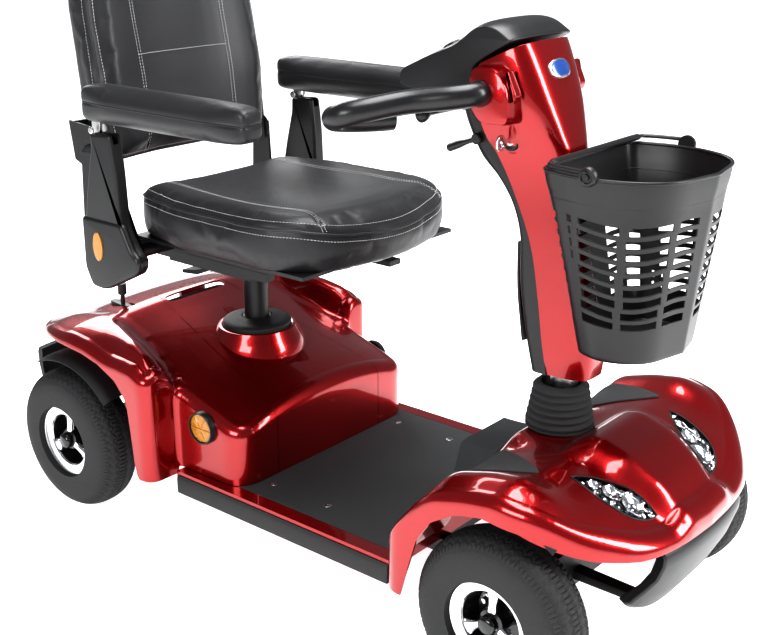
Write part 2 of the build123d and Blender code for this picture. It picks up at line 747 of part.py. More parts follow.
button_spread = 44
button_radius = 8
button_travel = 2
wigwag_x = 184
with BuildPart() as console:
    slab(
        [(118, 806), (116, 826), (222, 880), (262, 907), (292, 906), (321, 887), (299.6, 874.5),
         (256, 848.5), (248, 791), (196, 791)],
        -console_half,
        console_half,
    )
    slab(
        [(200, 795), (130, 808), (130, 820), (224, 868), (262, 897), (286, 896), (300, 886), (290, 876),
         (250, 852), (243, 795)],
        -console_half + 4,
        console_half - 4,
        Mode.SUBTRACT,
    )
    on_panel(0, -14, -3, 9)
    on_panel(0, -9, 1, 5 + running, Mode.SUBTRACT)
    for across in (button_spread, -button_spread):
        on_panel(across, -12, -3, button_radius + 3)
        on_panel(across, -7, 1, button_radius + gap, Mode.SUBTRACT)
    # The throttle's pivot boss hangs under the panel.
    rod((wigwag_x, 0, 790), (wigwag_x, 0, 806), 9)
    rod((wigwag_x, 0, 780), (wigwag_x, 0, 802), 4 + running, Mode.SUBTRACT)
save(console, "console")

with BuildPart() as speed_dial:
    on_panel(0, gap, 13, 17)
    on_panel(0, -8, gap, 5)
    with BuildSketch(panel_plane.offset(13)) as rib:
        Rectangle(26, 5)
    extrude(rib.sketch, amount=4)
save(speed_dial, "speed_dial")

for name, across in (("horn_button", button_spread), ("light_button", -button_spread)):
    with BuildPart() as button:
        on_panel(across, -7 + button_travel + gap, 3.5, button_radius)
    save(button, name)

with BuildPart() as wigwag_lever:
    rod((wigwag_x, 0, 768), (wigwag_x, 0, 789.5), 10)
    rod((wigwag_x, 0, 789), (wigwag_x, 0, 801), 4)
    block((wigwag_x - 6, wigwag_x + 6), (-112, 112), (769, 777))
    for side in (1, -1):
        block((wigwag_x - 11, wigwag_x + 11), sorted((side * 96, side * 114)), (762, 786))
save(wigwag_lever, "wigwag_lever")

with BuildPart() as handlebar:
    rod((bar_x, -102, bar_z), (bar_x, 102, bar_z), bar_core_radius)
    for side in (1, -1):
        start = (bar_x, side * 98, bar_z)
        route = [
            start, (bar_x, side * 118, bar_z), (206, side * 172, 801), (158, side * 248, 788),
            (118, side * 226, 773), (162, side * 140, 771),
        ]
        with BuildLine() as path:
            FilletPolyline(*route, radius=[36, 40, 21, 21])
        with BuildSketch(Plane(origin=start, z_dir=path.line % 0)) as section:
            Circle(grip_radius)
        sweep(section.sketch, path=path.line)
save(handlebar, "handlebar")

with BuildPart() as key_switch:
    rod((switch_spot[0], -46.2, switch_spot[1]), (switch_spot[0], -52, switch_spot[1]), 15)
save(key_switch, "key_switch")

with BuildPart() as key:
    block((switch_spot[0] - 1.2, switch_spot[0] + 1.2), (-64, -52.4), (switch_spot[1] - 4, switch_spot[1] + 4))
    block((switch_spot[0] - 2.5, switch_spot[0] + 2.5), (-84, -63), (switch_spot[1] - 12, switch_spot[1] + 12))
save(key, "key")

tilt_lever_pivot = (236, 736)
with BuildPart() as tilt_lever:
    px, pz = tilt_lever_pivot
    rod((px, -cover_half - gap, pz), (px, -cover_half - 12, pz), 8)
    rod((px, -cover_half - 7, pz), (px - 44, -cover_half - 7, pz - 18), 4.5)
    rod((px - 30, -cover_half - 7, pz - 12.3), (px - 50, -cover_half - 7, pz - 20.5), 7)
save(tilt_lever, "tilt_lever")

# ---------------------------------------------------------------- basket


def basket_ring(z, rear, side_x, front, rear_half, widest):
    """The D-shaped outline of the basket at one height: flat behind, round in front."""
    with BuildSketch(Plane.XY.offset(z)) as outline:
        with BuildLine():
            Line((rear, rear_half), (rear, -rear_half))
            ThreePointArc((rear, -rear_half), (side_x - 30, -widest + 4), (side_x, -widest))
            ThreePointArc((side_x, -widest), (front, 0), (side_x, widest))
            ThreePointArc((side_x, widest), (side_x - 30, widest - 4), (rear, rear_half))
        make_face()
    return outline.sketch


bail_x = 478
bail_z = basket_rim + 10
with BuildPart() as basket:
    loft([basket_ring(basket_floor, 444, 492, 560, 86, 104), basket_ring(basket_rim, 396, 482, 588, 116, 138)])
    loft(
        [
            basket_ring(basket_floor + 5, 447, 491, 557, 83, 101),
            basket_ring(basket_rim + 0.01, 396 + basket_wall, 482, 588 - basket_wall, 113, 135),
        ],
        mode=Mode.SUBTRACT,
    )
    # Two hooks behind the basket drop over the top of the bracket.
    slab([(389.5, plate_high + gap), (402, plate_high + gap), (400, 708), (389.5, 708)], -24, 24)
    for side in (1, -1):
        rod((bail_x, side * 130, bail_z), (bail_x, side * 142, bail_z), 9)
        rod((bail_x, side * 129, bail_z), (bail_x, side * 143, bail_z), 3.5 + running, Mode.SUBTRACT)
save(basket, "basket")

bail_route = [
    (bail_x, 141, bail_z), (bail_x, 124, bail_z), (410, 108, bail_z),
    (410, -108, bail_z), (bail_x, -124, bail_z), (bail_x, -141, bail_z),
]
with BuildPart() as basket_handle:
    with BuildLine() as bail:
        FilletPolyline(*bail_route, radius=[6, 10, 10, 6])
    with BuildSketch(Plane(origin=bail_route[0], z_dir=bail.line % 0)) as section:
        Circle(3.5)
    sweep(section.sketch, path=bail.line)
save(basket_handle, "basket_handle")

# ---------------------------------------------------------------- freewheel lever and anti-tip wheels
with BuildPart() as freewheel_lever:
    rod((-492, -138 + 3, 306), (-492, -122 - 3, 306), 9)
    rod((-492, -130, 306), (-492, -130, 378), 4)
    rod((-492, -130, 372), (-492, -130, 392), 8)
save(freewheel_lever, "freewheel_lever")

for side_name, side in SIDES:
    y = side * rail_y
    with BuildPart() as anti_tip_wheel:
        ring((rear_end - 7, y + side * 8, 47), (rear_end - 7, y + side * 27, 47), 26, 5 + running)
    save(anti_tip_wheel, f"anti_tip_wheel_{side_name}")

# ---------------------------------------------------------------- seat
with BuildPart() as seat_post:
    rod((seat_x, 0, 225), (seat_x, 0, seat_plate_z - 6), seat_post_radius)
    rod((seat_x, 0, seat_plate_z - 9), (seat_x, 0, seat_plate_z - gap), 42)
    rod((seat_x, 0, seat_plate_z - 1), (seat_x, 0, seat_plate_z + 10), 12)
save(seat_post, "seat_post")

slide_top = seat_plate_z + 20
with BuildPart() as seat_swivel_plate:
    block((seat_x - 100, seat_x + 100), (-112, 112), (seat_plate_z, seat_plate_z + 6))
    rod((seat_x, 0, seat_plate_z + 5), (seat_x, 0, seat_plate_z + 11), 24)
    for side in (1, -1):
        block(
            (seat_x - 140, seat_x + 140), sorted((side * 92, side * 112)), (seat_plate_z + 5, slide_top)
        )
    rod((seat_x, 0, seat_plate_z - 1), (seat_x, 0, seat_plate_z + 12), 12 + running, Mode.SUBTRACT)
save(seat_swivel_plate, "seat_swivel_plate")

with BuildPart() as swivel_lever:
    rod((seat_x - 40, -60, seat_plate_z - 14), (seat_x - 40, -60, seat_plate_z - gap), 9)
    slab(
        [(seat_x - 110, seat_plate_z - 34), (seat_x - 70, seat_plate_z - 30), (seat_x - 32, seat_plate_z - 14),
         (seat_x - 32, seat_plate_z - 8), (seat_x - 72, seat_plate_z - 22), (seat_x - 110, seat_plate_z - 28)],
        -76,
        -50,
    )
save(swivel_lever, "swivel_lever")

with BuildPart() as seat_frame:
    block((-372, cushion_front - 60), (-188, 188), (pan_z, pan_z + pan_thickness))
    for side in (1, -1):
        block((seat_x - 126, seat_x + 156), sorted((side * 92, side * 112)), (slide_top + rail_gap, pan_z))
        block((-482, -364), sorted((side * 180, side * 208)), (pan_z, pan_z + pan_thickness))
        slab(
            [(-482, pan_z), (-428, pan_z), (-436, back_hinge_z + 12), (-474, back_hinge_z + 12)],
            *sorted((side * 203, side * 208)),
        )
        pin_start = (back_hinge_x, side * 198.5, back_hinge_z)
        rod(pin_start, (back_hinge_x, side * 205, back_hinge_z), hinge_pin_radius)
        # The socket takes the armrest's cross tube.
        rod((arm_tube_x, side * 24, arm_tube_z), (arm_tube_x, side * 196, arm_tube_z), 15)
        block((arm_tube_x - 10, arm_tube_x + 10), sorted((side * 120, side * 188)), (arm_tube_z + 8, pan_z))
        rod(
            (arm_tube_x, side * 22, arm_tube_z),
            (arm_tube_x, side * 198, arm_tube_z),
            arm_tube_radius + running,
            Mode.SUBTRACT,
        )
save(seat_frame, "seat_frame")

with BuildPart() as slide_lever:
    rod((seat_x + 150, 50, 492), (seat_x + 150, 70, 492), 7)
    rod((seat_x + 150, 60, 492), (-22, 60, 484), 5)
    block((-40, 2), (46, 74), (477, 486))
save(slide_lever, "slide_lever")

cushion_low = pan_z + pan_thickness + gap
cushion_side = [
    (cushion_front, 560), (cushion_front - 5, 588), (cushion_front - 32, cushion_top + 6), (-60, cushion_top),
    (-300, cushion_top - 6), (cushion_rear + 16, cushion_top - 3), (cushion_rear, cushion_top - 24),
    (cushion_rear, cushion_low), (20, cushion_low), (cushion_front - 18, 536),
]
with BuildPart() as seat_cushion:
    slab(cushion_side, -cushion_half_width, cushion_half_width)
    fillet(seat_cushion.edges().filter_by(Axis.Z).group_by(Axis.X)[0], 30)
    chamfer(seat_cushion.faces().sort_by(Axis.Y)[0].edges().group_by(Axis.Z)[-1], 10)
    chamfer(seat_cushion.faces().sort_by(Axis.Y)[-1].edges().group_by(Axis.Z)[-1], 10)
save(seat_cushion, "seat_cushion")

back_front = [(-416, 628), (-413, 675), (-421, 769), (-443, 879), (-452, 960), (-466, back_top - 8)]
back_rear = [(-500, back_top), (-520, back_top - 30), (-518, 900), (-504, 760), (-490, 660), (-486, 628)]
with BuildPart() as seat_back:
    slab([*back_front, *back_rear], -back_half_width, back_half_width)
save(seat_back, "seat_back")

lug_inner = back_half_width + gap + 0.2
with BuildPart() as back_frame:
    for side in (1, -1):
        lug = sorted((side * lug_inner, side * (lug_inner + 4)))
        slab(
            [(back_hinge_x - 16, back_hinge_z - 18), (back_hinge_x + 16, back_hinge_z - 18),
             (back_hinge_x + 10, back_hinge_z + 55), (back_hinge_x - 56, back_hinge_z + 60),
             (back_hinge_x - 46, back_hinge_z - 6)],
            *lug,
        )
        rod(
            (back_hinge_x, side * (lug_inner - 1), back_hinge_z),
            (back_hinge_x, side * (lug_inner + 5), back_hinge_z),
            hinge_pin_radius + running,
            Mode.SUBTRACT,
        )
    slab(
        [(-488, 634), (-491, 660), (-497, 700), (-501, 700), (-501, 634)], -lug_inner - 1, lug_inner + 1
    )
save(back_frame, "back_frame")

post_outline = [
    (-391, 704), (-384, 714), (-340, 714), (-334, 650), (-330, 540), (-312, 520), (-290, 506), (-286, 490),
    (-300, 470), (-380, 434), (-410, 434), (-427, 460), (-424, 520), (-412, 600),
    (-408, 640), (-393, 672),
]
for side_name, side in SIDES:
    post_span = sorted((side * arm_post_inner, side * (arm_outer - 1)))
    slot_span = sorted((side * 233.5, side * 243.5))
    with BuildPart() as arm_post:
        slab(post_outline, *post_span)
        rod(
            (arm_tube_x, side * 70, arm_tube_z),
            (arm_tube_x, side * (arm_post_inner + 1), arm_tube_z),
            arm_tube_radius,
        )
        block((-430, -325), slot_span, (686, 720), Mode.SUBTRACT)
        rod(
            (arm_pivot_x, side * arm_post_inner, arm_pivot_z),
            (arm_pivot_x, side * (arm_outer - 1), arm_pivot_z),
            4,
        )
    save(arm_post, f"arm_post_{side_name}")

    with BuildPart() as arm_pad:
        slab(
            [(arm_rear, arm_bottom), (arm_front - 6, arm_bottom), (arm_front, arm_bottom + 12),
             (arm_front, arm_top - 14), (arm_front - 14, arm_top), (arm_rear + 8, arm_top),
             (arm_rear, arm_top - 8)],
            *sorted((side * arm_inner, side * arm_outer)),
        )
        # A steel tongue under the pad turns on the post's pin.
        tongue = sorted((side * 234, side * 243))
        block((arm_pivot_x - 9, arm_pivot_x + 12), tongue, (arm_pivot_z, arm_bottom + 1))
        rod((arm_pivot_x, tongue[0], arm_pivot_z), (arm_pivot_x, tongue[1], arm_pivot_z), 9)
        rod(
            (arm_pivot_x, tongue[0] - 1, arm_pivot_z),
            (arm_pivot_x, tongue[1] + 1, arm_pivot_z),
            4 + running,
            Mode.SUBTRACT,
        )
    save(arm_pad, f"arm_pad_{side_name}")
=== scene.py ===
import json
from math import cos, exp, hypot, pi, radians, sin, sqrt

import bmesh
import bpy
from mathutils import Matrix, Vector
from mathutils.bvhtree import BVHTree
from mathutils.kdtree import KDTree


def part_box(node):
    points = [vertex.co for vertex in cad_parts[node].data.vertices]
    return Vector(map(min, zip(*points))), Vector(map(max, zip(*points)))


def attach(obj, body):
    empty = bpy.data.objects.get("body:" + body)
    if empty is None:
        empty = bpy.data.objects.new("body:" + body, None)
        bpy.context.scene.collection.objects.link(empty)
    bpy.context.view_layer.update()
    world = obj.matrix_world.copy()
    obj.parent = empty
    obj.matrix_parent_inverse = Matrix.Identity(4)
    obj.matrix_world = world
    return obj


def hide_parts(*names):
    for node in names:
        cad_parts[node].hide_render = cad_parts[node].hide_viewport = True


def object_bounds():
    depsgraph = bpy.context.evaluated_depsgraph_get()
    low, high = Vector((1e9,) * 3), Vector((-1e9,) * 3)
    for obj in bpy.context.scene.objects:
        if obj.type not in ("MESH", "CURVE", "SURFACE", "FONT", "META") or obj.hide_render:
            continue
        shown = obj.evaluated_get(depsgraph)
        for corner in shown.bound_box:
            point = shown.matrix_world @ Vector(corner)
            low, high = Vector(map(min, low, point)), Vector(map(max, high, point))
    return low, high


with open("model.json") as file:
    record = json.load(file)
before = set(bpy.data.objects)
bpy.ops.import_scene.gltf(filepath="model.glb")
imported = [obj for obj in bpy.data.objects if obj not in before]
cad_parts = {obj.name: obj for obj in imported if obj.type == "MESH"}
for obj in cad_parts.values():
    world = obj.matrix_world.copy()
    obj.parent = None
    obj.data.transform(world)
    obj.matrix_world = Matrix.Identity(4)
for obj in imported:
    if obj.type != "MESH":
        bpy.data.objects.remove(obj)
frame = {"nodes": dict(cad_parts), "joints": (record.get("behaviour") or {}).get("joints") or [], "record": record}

cad_low, cad_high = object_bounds()
nodes = frame["nodes"]
scene = bpy.context.scene

# ---------------------------------------------------------------- camera, light and floor
# A pale seamless floor, a large softbox over the scooter and two tall ones beside it, and a
# camera at a standing person's eye height, off the right front wheel.


def link(name, data):
    """Puts a new object into the scene."""
    thing = bpy.data.objects.new(name, data)
    scene.collection.objects.link(thing)
    return thing


def aim(thing, target):
    """Turns a camera or a lamp so that it looks at a point."""
    thing.rotation_euler = (Vector(target) - thing.location).to_track_quat("-Z", "Y").to_euler()


camera = link("camera", bpy.data.cameras.new("camera"))
camera.data.sensor_width = 36
camera.data.lens = 57.4
camera.data.shift_x = -0.0053
camera.data.shift_y = 0.0026
camera.location = (1.2562, -1.4778, 1.075)
camera_turn = radians(39.5)
camera_dip = radians(19.3)
camera_look = Vector((-sin(camera_turn) * cos(camera_dip), cos(camera_turn) * cos(camera_dip), -sin(camera_dip)))
aim(camera, camera.location + camera_look)
scene.camera = camera
scene.view_settings.view_transform = "Standard"
scene.view_settings.look = "High Contrast"


def softbox(name, place, target, width, height, power):
    """One rectangular studio lamp."""
    lamp = link(name, bpy.data.lights.new(name, "AREA"))
    lamp.data.shape = "RECTANGLE"
    lamp.data.size = width
    lamp.data.size_y = height
    lamp.data.energy = power
    lamp.location = place
    aim(lamp, target)


middle = (cad_low + cad_high) / 2
softbox("overhead", (0.3, 0.2, 2.9), middle, 2.2, 1.2, 74)
softbox("front_left", (2.6, 0.9, 1.7), middle, 0.8, 2.0, 60)
softbox("right_side", (0.4, -2.8, 1.6), middle, 1.5, 1.0, 40)
softbox("behind", (-2.4, 1.2, 1.9), middle, 1.4, 1.4, 30)

sky = bpy.data.worlds.new("studio")
scene.world = sky
sky.use_nodes = True
sky.node_tree.nodes["Background"].inputs["Color"].default_value = (0.86, 0.88, 0.92, 1)
sky.node_tree.nodes["Background"].inputs["Strength"].default_value = 0.26


def shader_tree(name):
    """A new material, with its nodes, its links and its surface shader."""
    made = bpy.data.materials.new(name)
    made.use_nodes = True
    return made, made.node_tree.nodes, made.node_tree.links, made.node_tree.nodes["Principled BSDF"]


floor_finish, _, _, floor_shader = shader_tree("studio_floor")
floor_shader.inputs["Base Color"].default_value = (0.97, 0.97, 0.97, 1)
floor_shader.inputs["Roughness"].default_value = 0.9
floor_shader.inputs["Emission Color"].default_value = (1, 1, 1, 1)
floor_shader.inputs["Emission Strength"].default_value = 0.62
floor_mesh = bpy.data.meshes.new("floor")
floor_reach = 14
floor_mesh.from_pydata(
    [(-floor_reach, -floor_reach, 0), (floor_reach, -floor_reach, 0), (floor_reach, floor_reach, 0),
     (-floor_reach, floor_reach, 0)],
    [],
    [(0, 1, 2, 3)],
)
floor_mesh.materials.append(floor_finish)
link("floor", floor_mesh)

# ---------------------------------------------------------------- frame, drive and running gear
# The welded tube frame, the geared motor axle with its batteries and controller, and the steering
# links stay as they are built. They are powder coated, cast or zinc plated.


def finish_of(name, light, dark, roughness, grain=900, depth=0.03, metallic=0.0, coat=0.0, patch=14):
    """A material with uneven colour in soft patches and a fine grain pressed into its surface."""
    made, parts, links, shader = shader_tree(name)
    place = parts.new("ShaderNodeTexCoord")
    patches = parts.new("ShaderNodeTexNoise")
    patches.inputs["Scale"].default_value = patch
    patches.inputs["Detail"].default_value = 5
    blend = parts.new("ShaderNodeMix")
    blend.data_type = "RGBA"
    blend.inputs["A"].default_value = (*dark, 1)
    blend.inputs["B"].default_value = (*light, 1)
    grit = parts.new("ShaderNodeTexNoise")
    grit.inputs["Scale"].default_value = grain
    grit.inputs["Detail"].default_value = 2
    bump = parts.new("ShaderNodeBump")
    bump.inputs["Strength"].default_value = min(1.0, depth * 8)
    bump.inputs["Distance"].default_value = depth / 100
    spread = parts.new("ShaderNodeMapRange")
    spread.inputs["To Min"].default_value = roughness * 0.86
    spread.inputs["To Max"].default_value = min(1.0, roughness * 1.14)
    links.new(place.outputs["Object"], patches.inputs["Vector"])
    links.new(place.outputs["Object"], grit.inputs["Vector"])
    links.new(patches.outputs["Fac"], blend.inputs["Factor"])
    links.new(blend.outputs["Result"], shader.inputs["Base Color"])
    links.new(patches.outputs["Fac"], spread.inputs["Value"])
    links.new(spread.outputs["Result"], shader.inputs["Roughness"])
    links.new(grit.outputs["Fac"], bump.inputs["Height"])
    links.new(bump.outputs["Normal"], shader.inputs["Normal"])
    shader.inputs["Metallic"].default_value = metallic
    shader.inputs["Coat Weight"].default_value = coat
    shader.inputs["Coat Roughness"].default_value = 0.06
    return made


powder_black = finish_of("powder_coat_black", (0.022, 0.022, 0.024), (0.012, 0.012, 0.013), 0.42, 700, 0.05)
zinc_plate = finish_of("zinc_plate", (0.66, 0.66, 0.64), (0.48, 0.48, 0.47), 0.3, 500, 0.02, 1.0)
cast_grey = finish_of("cast_housing", (0.34, 0.34, 0.35), (0.24, 0.24, 0.25), 0.5, 420, 0.08, 0.85)
case_black = finish_of("battery_case", (0.035, 0.035, 0.04), (0.02, 0.02, 0.022), 0.55, 800, 0.06)
satin_black = finish_of("satin_black_plastic", (0.021, 0.021, 0.022), (0.014, 0.014, 0.015), 0.36, 1400, 0.03)
grained_black = finish_of("grained_black_plastic", (0.026, 0.026, 0.027), (0.018, 0.018, 0.019), 0.5, 1100, 0.09)


def paint(finish, *names):
    """Gives built pieces of the frame their finish."""
    for name in names:
        nodes[name].data.materials.clear()
        nodes[name].data.materials.append(finish)
        nodes[name].data.shade_smooth()
        nodes[name].data.set_sharp_from_angle(angle=radians(32))


paint(powder_black, "main_frame", "seat_frame", "seat_swivel_plate", "seat_post", "tiller_frame")
paint(zinc_plate, "knuckle_left", "knuckle_right", "tie_rod_left", "tie_rod_right", "steering_column")
paint(cast_grey, "transaxle", "controller")
paint(case_black, "battery_pack")

# ---------------------------------------------------------------- wheels
# Solid tyres with a block tread on split pressed rims: a bright ring, a deep black bowl and three
# polished spokes, held by a black hub cap over the axle nut.


def mm(*values):
    """Millimetres to metres, as one point."""
    return Vector([value / 1000 for value in values])


def add_mesh(name, points, faces, finish, sharp=40):
    """A mesh piece from its points and faces, smooth except over its sharp edges."""
    mesh = bpy.data.meshes.new(name)
    mesh.from_pydata([tuple(point) for point in points], [], faces)
    mesh.materials.append(finish)
    body = bmesh.new()
    body.from_mesh(mesh)
    bmesh.ops.remove_doubles(body, verts=body.verts, dist=0.00002)
    bmesh.ops.recalc_face_normals(body, faces=body.faces)
    body.to_mesh(mesh)
    body.free()
    mesh.shade_smooth()
    mesh.set_sharp_from_angle(angle=radians(sharp))
    return link(name, mesh)


def skin(rings, closed=True, capped=True):
    """The points and faces of a skin over rings of equal length, closed round each ring."""
    count = len(rings[0])
    points = [point for ring in rings for point in ring]
    faces = []
    for row in range(len(rings) - 1):
        for k in range(count if closed else count - 1):
            a = row * count + k
            b = row * count + (k + 1) % count
            faces.append((a, b, b + count, a + count))
    if capped:
        faces.append(tuple(reversed(range(count))))
        faces.append(tuple(range(len(points) - count, len(points))))
    return points, faces


def turned(name, profile, centre, outward, finish, steps=96, sharp=40):
    """A piece turned round a wheel's axle from (radius, distance outward) in millimetres."""
    rings = []
    for k in range(steps):
        angle = 2 * pi * k / steps
        rings.append(
            [centre + mm(r * cos(angle), outward * across, r * sin(angle)) for r, across in profile]
        )
    rings.append(rings[0])
    points, faces = skin(rings, closed=True, capped=False)
    return add_mesh(name, points, faces, finish, sharp)


def declare(piece, body, slot, *replaced):
    """Fixes a piece to the body that it moves with, and hides the built parts that it stands in for. The slot, the name
    of its finish, is not used.
    """
    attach(piece, body)
    if replaced:
        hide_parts(*replaced)
    return piece


tyre_rubber = finish_of("tyre_rubber", (0.036, 0.036, 0.037), (0.02, 0.02, 0.021), 0.66, 600, 0.12)
bright_ring = finish_of("bright_rim", (0.83, 0.83, 0.84), (0.72, 0.72, 0.73), 0.22, 300, 0.01, 1.0)
polished = finish_of("polished_metal", (0.86, 0.86, 0.87), (0.7, 0.7, 0.71), 0.1, 260, 0.006, 1.0)
gloss_black = finish_of("gloss_black", (0.012, 0.012, 0.013), (0.007, 0.007, 0.008), 0.2, 500, 0.01, 0.0, 0.6)


def zigzag(value):
    """A triangle wave between -1 and 1."""
    return 4 * abs(value - int(value + 0.5)) - 1 if value >= 0 else zigzag(-value)


def tyre_radius(angle, across):
    """The tyre's radius and sideways reach at an angle round it and a place across its section."""
    tread_reach = 33
    half_width = 42.3
    crown = 129.8
    bead = 66.5
    turn = across * pi / 2
    side = half_width * sin(turn) ** 0.8 if turn >= 0 else -half_width * sin(-turn) ** 0.8
    radius = bead + (crown - bead) * max(0.0, cos(turn)) ** 0.52
    depth = 0
    if abs(side) < 40.5 and radius > 96:
        for k in (-2, -1, 0, 1, 2):
            way = 1 if k % 2 else -1
            middle = k * 14.5 + way * 3.6 * zigzag(angle * 26 / pi)
            depth = max(depth, 1 - abs(side - middle) / 1.9)
        pitch = angle * 52 / pi
        row = int((side + 100) // 14.5)
        phase = (pitch + 0.5 * (row % 2)) % 1
        depth = max(depth, (1 - min(phase, 1 - phase) * 15.7 / 1.9) * 0.9)
        if abs(side) > tread_reach:
            depth *= max(0.0, (40.5 - abs(side)) / (40.5 - tread_reach))
    for ring in (112, 88, 76):
        if abs(side) > 20:
            depth = max(depth, 0.45 * (1 - abs(radius - ring) / 1.2))
    return radius - 2.6 * max(0.0, min(depth, 0.75)), side


tyre_rows = 72
tyre_steps = 520
tyre_mesh = None
for end, place in (("front", nodes["tyre_front_left"]), ("rear", nodes["tyre_rear_left"])):
    for side_name, outward in (("left", 1), ("right", -1)):
        low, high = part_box(f"tyre_{end}_{side_name}")
        hub = (low + high) / 2
        if tyre_mesh is None:
            rings = []
            for step in range(tyre_steps + 1):
                angle = 2 * pi * (step % tyre_steps) / tyre_steps
                ring = []
                for row in range(tyre_rows + 1):
                    radius, side = tyre_radius(angle, 2 * row / tyre_rows - 1)
                    ring.append(mm(radius * cos(angle), side, radius * sin(angle)))
                rings.append(ring)
            points, faces = skin(rings, closed=True, capped=False)
            tyre = add_mesh(f"tyre_{end}_{side_name}_tread", points, faces, tyre_rubber, 60)
            tyre_mesh = tyre.data
        else:
            tyre = link(f"tyre_{end}_{side_name}_tread", tyre_mesh)
        tyre.location = hub
        wheel_body = f"{end}_wheel_{side_name}"
        declare(tyre, wheel_body, "tyre_rubber", f"tyre_{end}_{side_name}")
        ring_profile = [(47, 24), (49, 28), (62, 29.5), (65, 31), (66, 29), (66, 20), (64, 12), (60, 12), (50, 20)]
        ring = turned(f"rim_ring_{end}_{side_name}", ring_profile, hub, outward, bright_ring)
        declare(ring, wheel_body, "rim", f"wheel_{end}_{side_name}")
        bowl_profile = [(47, 25), (44, 10), (40, -4), (18, -8), (16, -12), (44, -12), (62, -16), (64, 16), (50, 24)]
        declare(turned(f"rim_bowl_{end}_{side_name}", bowl_profile, hub, outward, gloss_black), wheel_body, "rim")
        cap_profile = [(0.1, 40), (9, 39.5), (13, 37), (14, 34), (14, 26), (19, 24), (20, 20), (20, -30), (0.1, -30)]
        declare(turned(f"hub_cap_{end}_{side_name}", cap_profile, hub, outward, gloss_black), wheel_body, "rim")
        for k in range(3):
            aim_angle = radians(90 + 120 * k)
            sections = []
            for reach, half, lift, thick in ((16, 8, 21, 5), (26, 6.5, 19, 6), (37, 8.5, 18, 6), (46, 14, 20, 5),
                                             (49, 17, 22, 4)):
                section = []
                for step in range(16):
                    a = 2 * pi * step / 16
                    wide = half * (abs(cos(a)) ** 0.7) * (1 if cos(a) >= 0 else -1)
                    tall = thick * (abs(sin(a)) ** 0.8) * (1 if sin(a) >= 0 else -1)
                    section.append(
                        hub + mm(reach * cos(aim_angle) - wide * sin(aim_angle), outward * (lift + tall),
                                 reach * sin(aim_angle) + wide * cos(aim_angle))
                    )
                sections.append(section)
            points, faces = skin(sections)
            spoke = add_mesh(f"spoke_{k + 1}_{end}_{side_name}", points, faces, polished)
            declare(spoke, wheel_body, "rim")
            bolt_angle = aim_angle + radians(60)
            bolt_centre = hub + mm(30 * cos(bolt_angle), 0, 30 * sin(bolt_angle))
            bolt_profile = [(0.1, 7), (3.6, 6.5), (4.4, 5), (4.4, -2), (7, -2.5), (7, -5), (0.1, -5)]
            bolt = turned(f"rim_bolt_{k + 1}_{end}_{side_name}", bolt_profile, bolt_centre, outward, polished, 24)
            declare(bolt, wheel_body, "bright_steel")

# ---------------------------------------------------------------- deck
# A red floor panel with turned down sills, black strips along its sides, and a moulded rubber mat
# that climbs the nose panel in two tongues. Six countersunk screws hold the mat down.


def candy_red():
    """Metallic red lacquer under clear coat: fine flake, and a deeper tone in slow patches."""
    made, parts, links, shader = shader_tree("candy_red_lacquer")
    place = parts.new("ShaderNodeTexCoord")
    slow = parts.new("ShaderNodeTexNoise")
    slow.inputs["Scale"].default_value = 3
    flake = parts.new("ShaderNodeTexVoronoi")
    flake.inputs["Scale"].default_value = 1500
    tone = parts.new("ShaderNodeMix")
    tone.data_type = "RGBA"
    tone.inputs["A"].default_value = (0.27, 0.001, 0.003, 1)
    tone.inputs["B"].default_value = (0.35, 0.0015, 0.004, 1)
    bump = parts.new("ShaderNodeBump")
    bump.inputs["Strength"].default_value = 0.06
    bump.inputs["Distance"].default_value = 0.0002
    links.new(place.outputs["Object"], slow.inputs["Vector"])
    links.new(place.outputs["Object"], flake.inputs["Vector"])
    links.new(slow.outputs["Fac"], tone.inputs["Factor"])
    links.new(tone.outputs["Result"], shader.inputs["Base Color"])
    links.new(flake.outputs["Distance"], bump.inputs["Height"])
    links.new(bump.outputs["Normal"], shader.inputs["Normal"])
    shader.inputs["Metallic"].default_value = 0.72
    shader.inputs["Roughness"].default_value = 0.27
    shader.inputs["Coat Weight"].default_value = 1.0
    shader.inputs["Coat Roughness"].default_value = 0.025
    return made


red = candy_red()
mat_rubber = finish_of("mat_rubber", (0.062, 0.064, 0.066), (0.048, 0.05, 0.052), 0.72, 1500, 0.16)
screw_steel = finish_of("screw_steel", (0.42, 0.42, 0.43), (0.3, 0.3, 0.31), 0.34, 500, 0.02, 1.0)


def between(table, x):
    """The value at x on a line through a few points, in straight runs."""
    if x <= table[0][0]:
        return table[0][1]
    for (x0, y0), (x1, y1) in zip(table, table[1:]):
        if x <= x1:
            return y0 + (y1 - y0) * (x - x0) / (x1 - x0)
    return table[-1][1]


def eased(table, x, reach=9):
    """The same line with its corners rounded off."""
    steps = (-1.0, -0.66, -0.33, 0.0, 0.33, 0.66, 1.0)
    return sum(between(table, x + reach * step) for step in steps) / len(steps)


def ramp_up(low, high, value):
    """Runs smoothly from 0 at low to 1 at high."""
    share = max(0.0, min(1.0, (value - low) / (high - low)))
    return share * share * (3 - 2 * share)


valley_line = [(236, 127), (246, 146), (262, 190), (282, 232), (310, 268), (345, 295), (400, 311), (450, 319),
               (500, 310), (550, 286), (590, 256), (612, 238), (632, 224)]
hood_line = [(300, 262), (322, 286), (334, 311), (425, 313), (446, 333), (474, 340), (524, 325), (574, 294),
             (606, 258), (626, 226), (640, 216)]


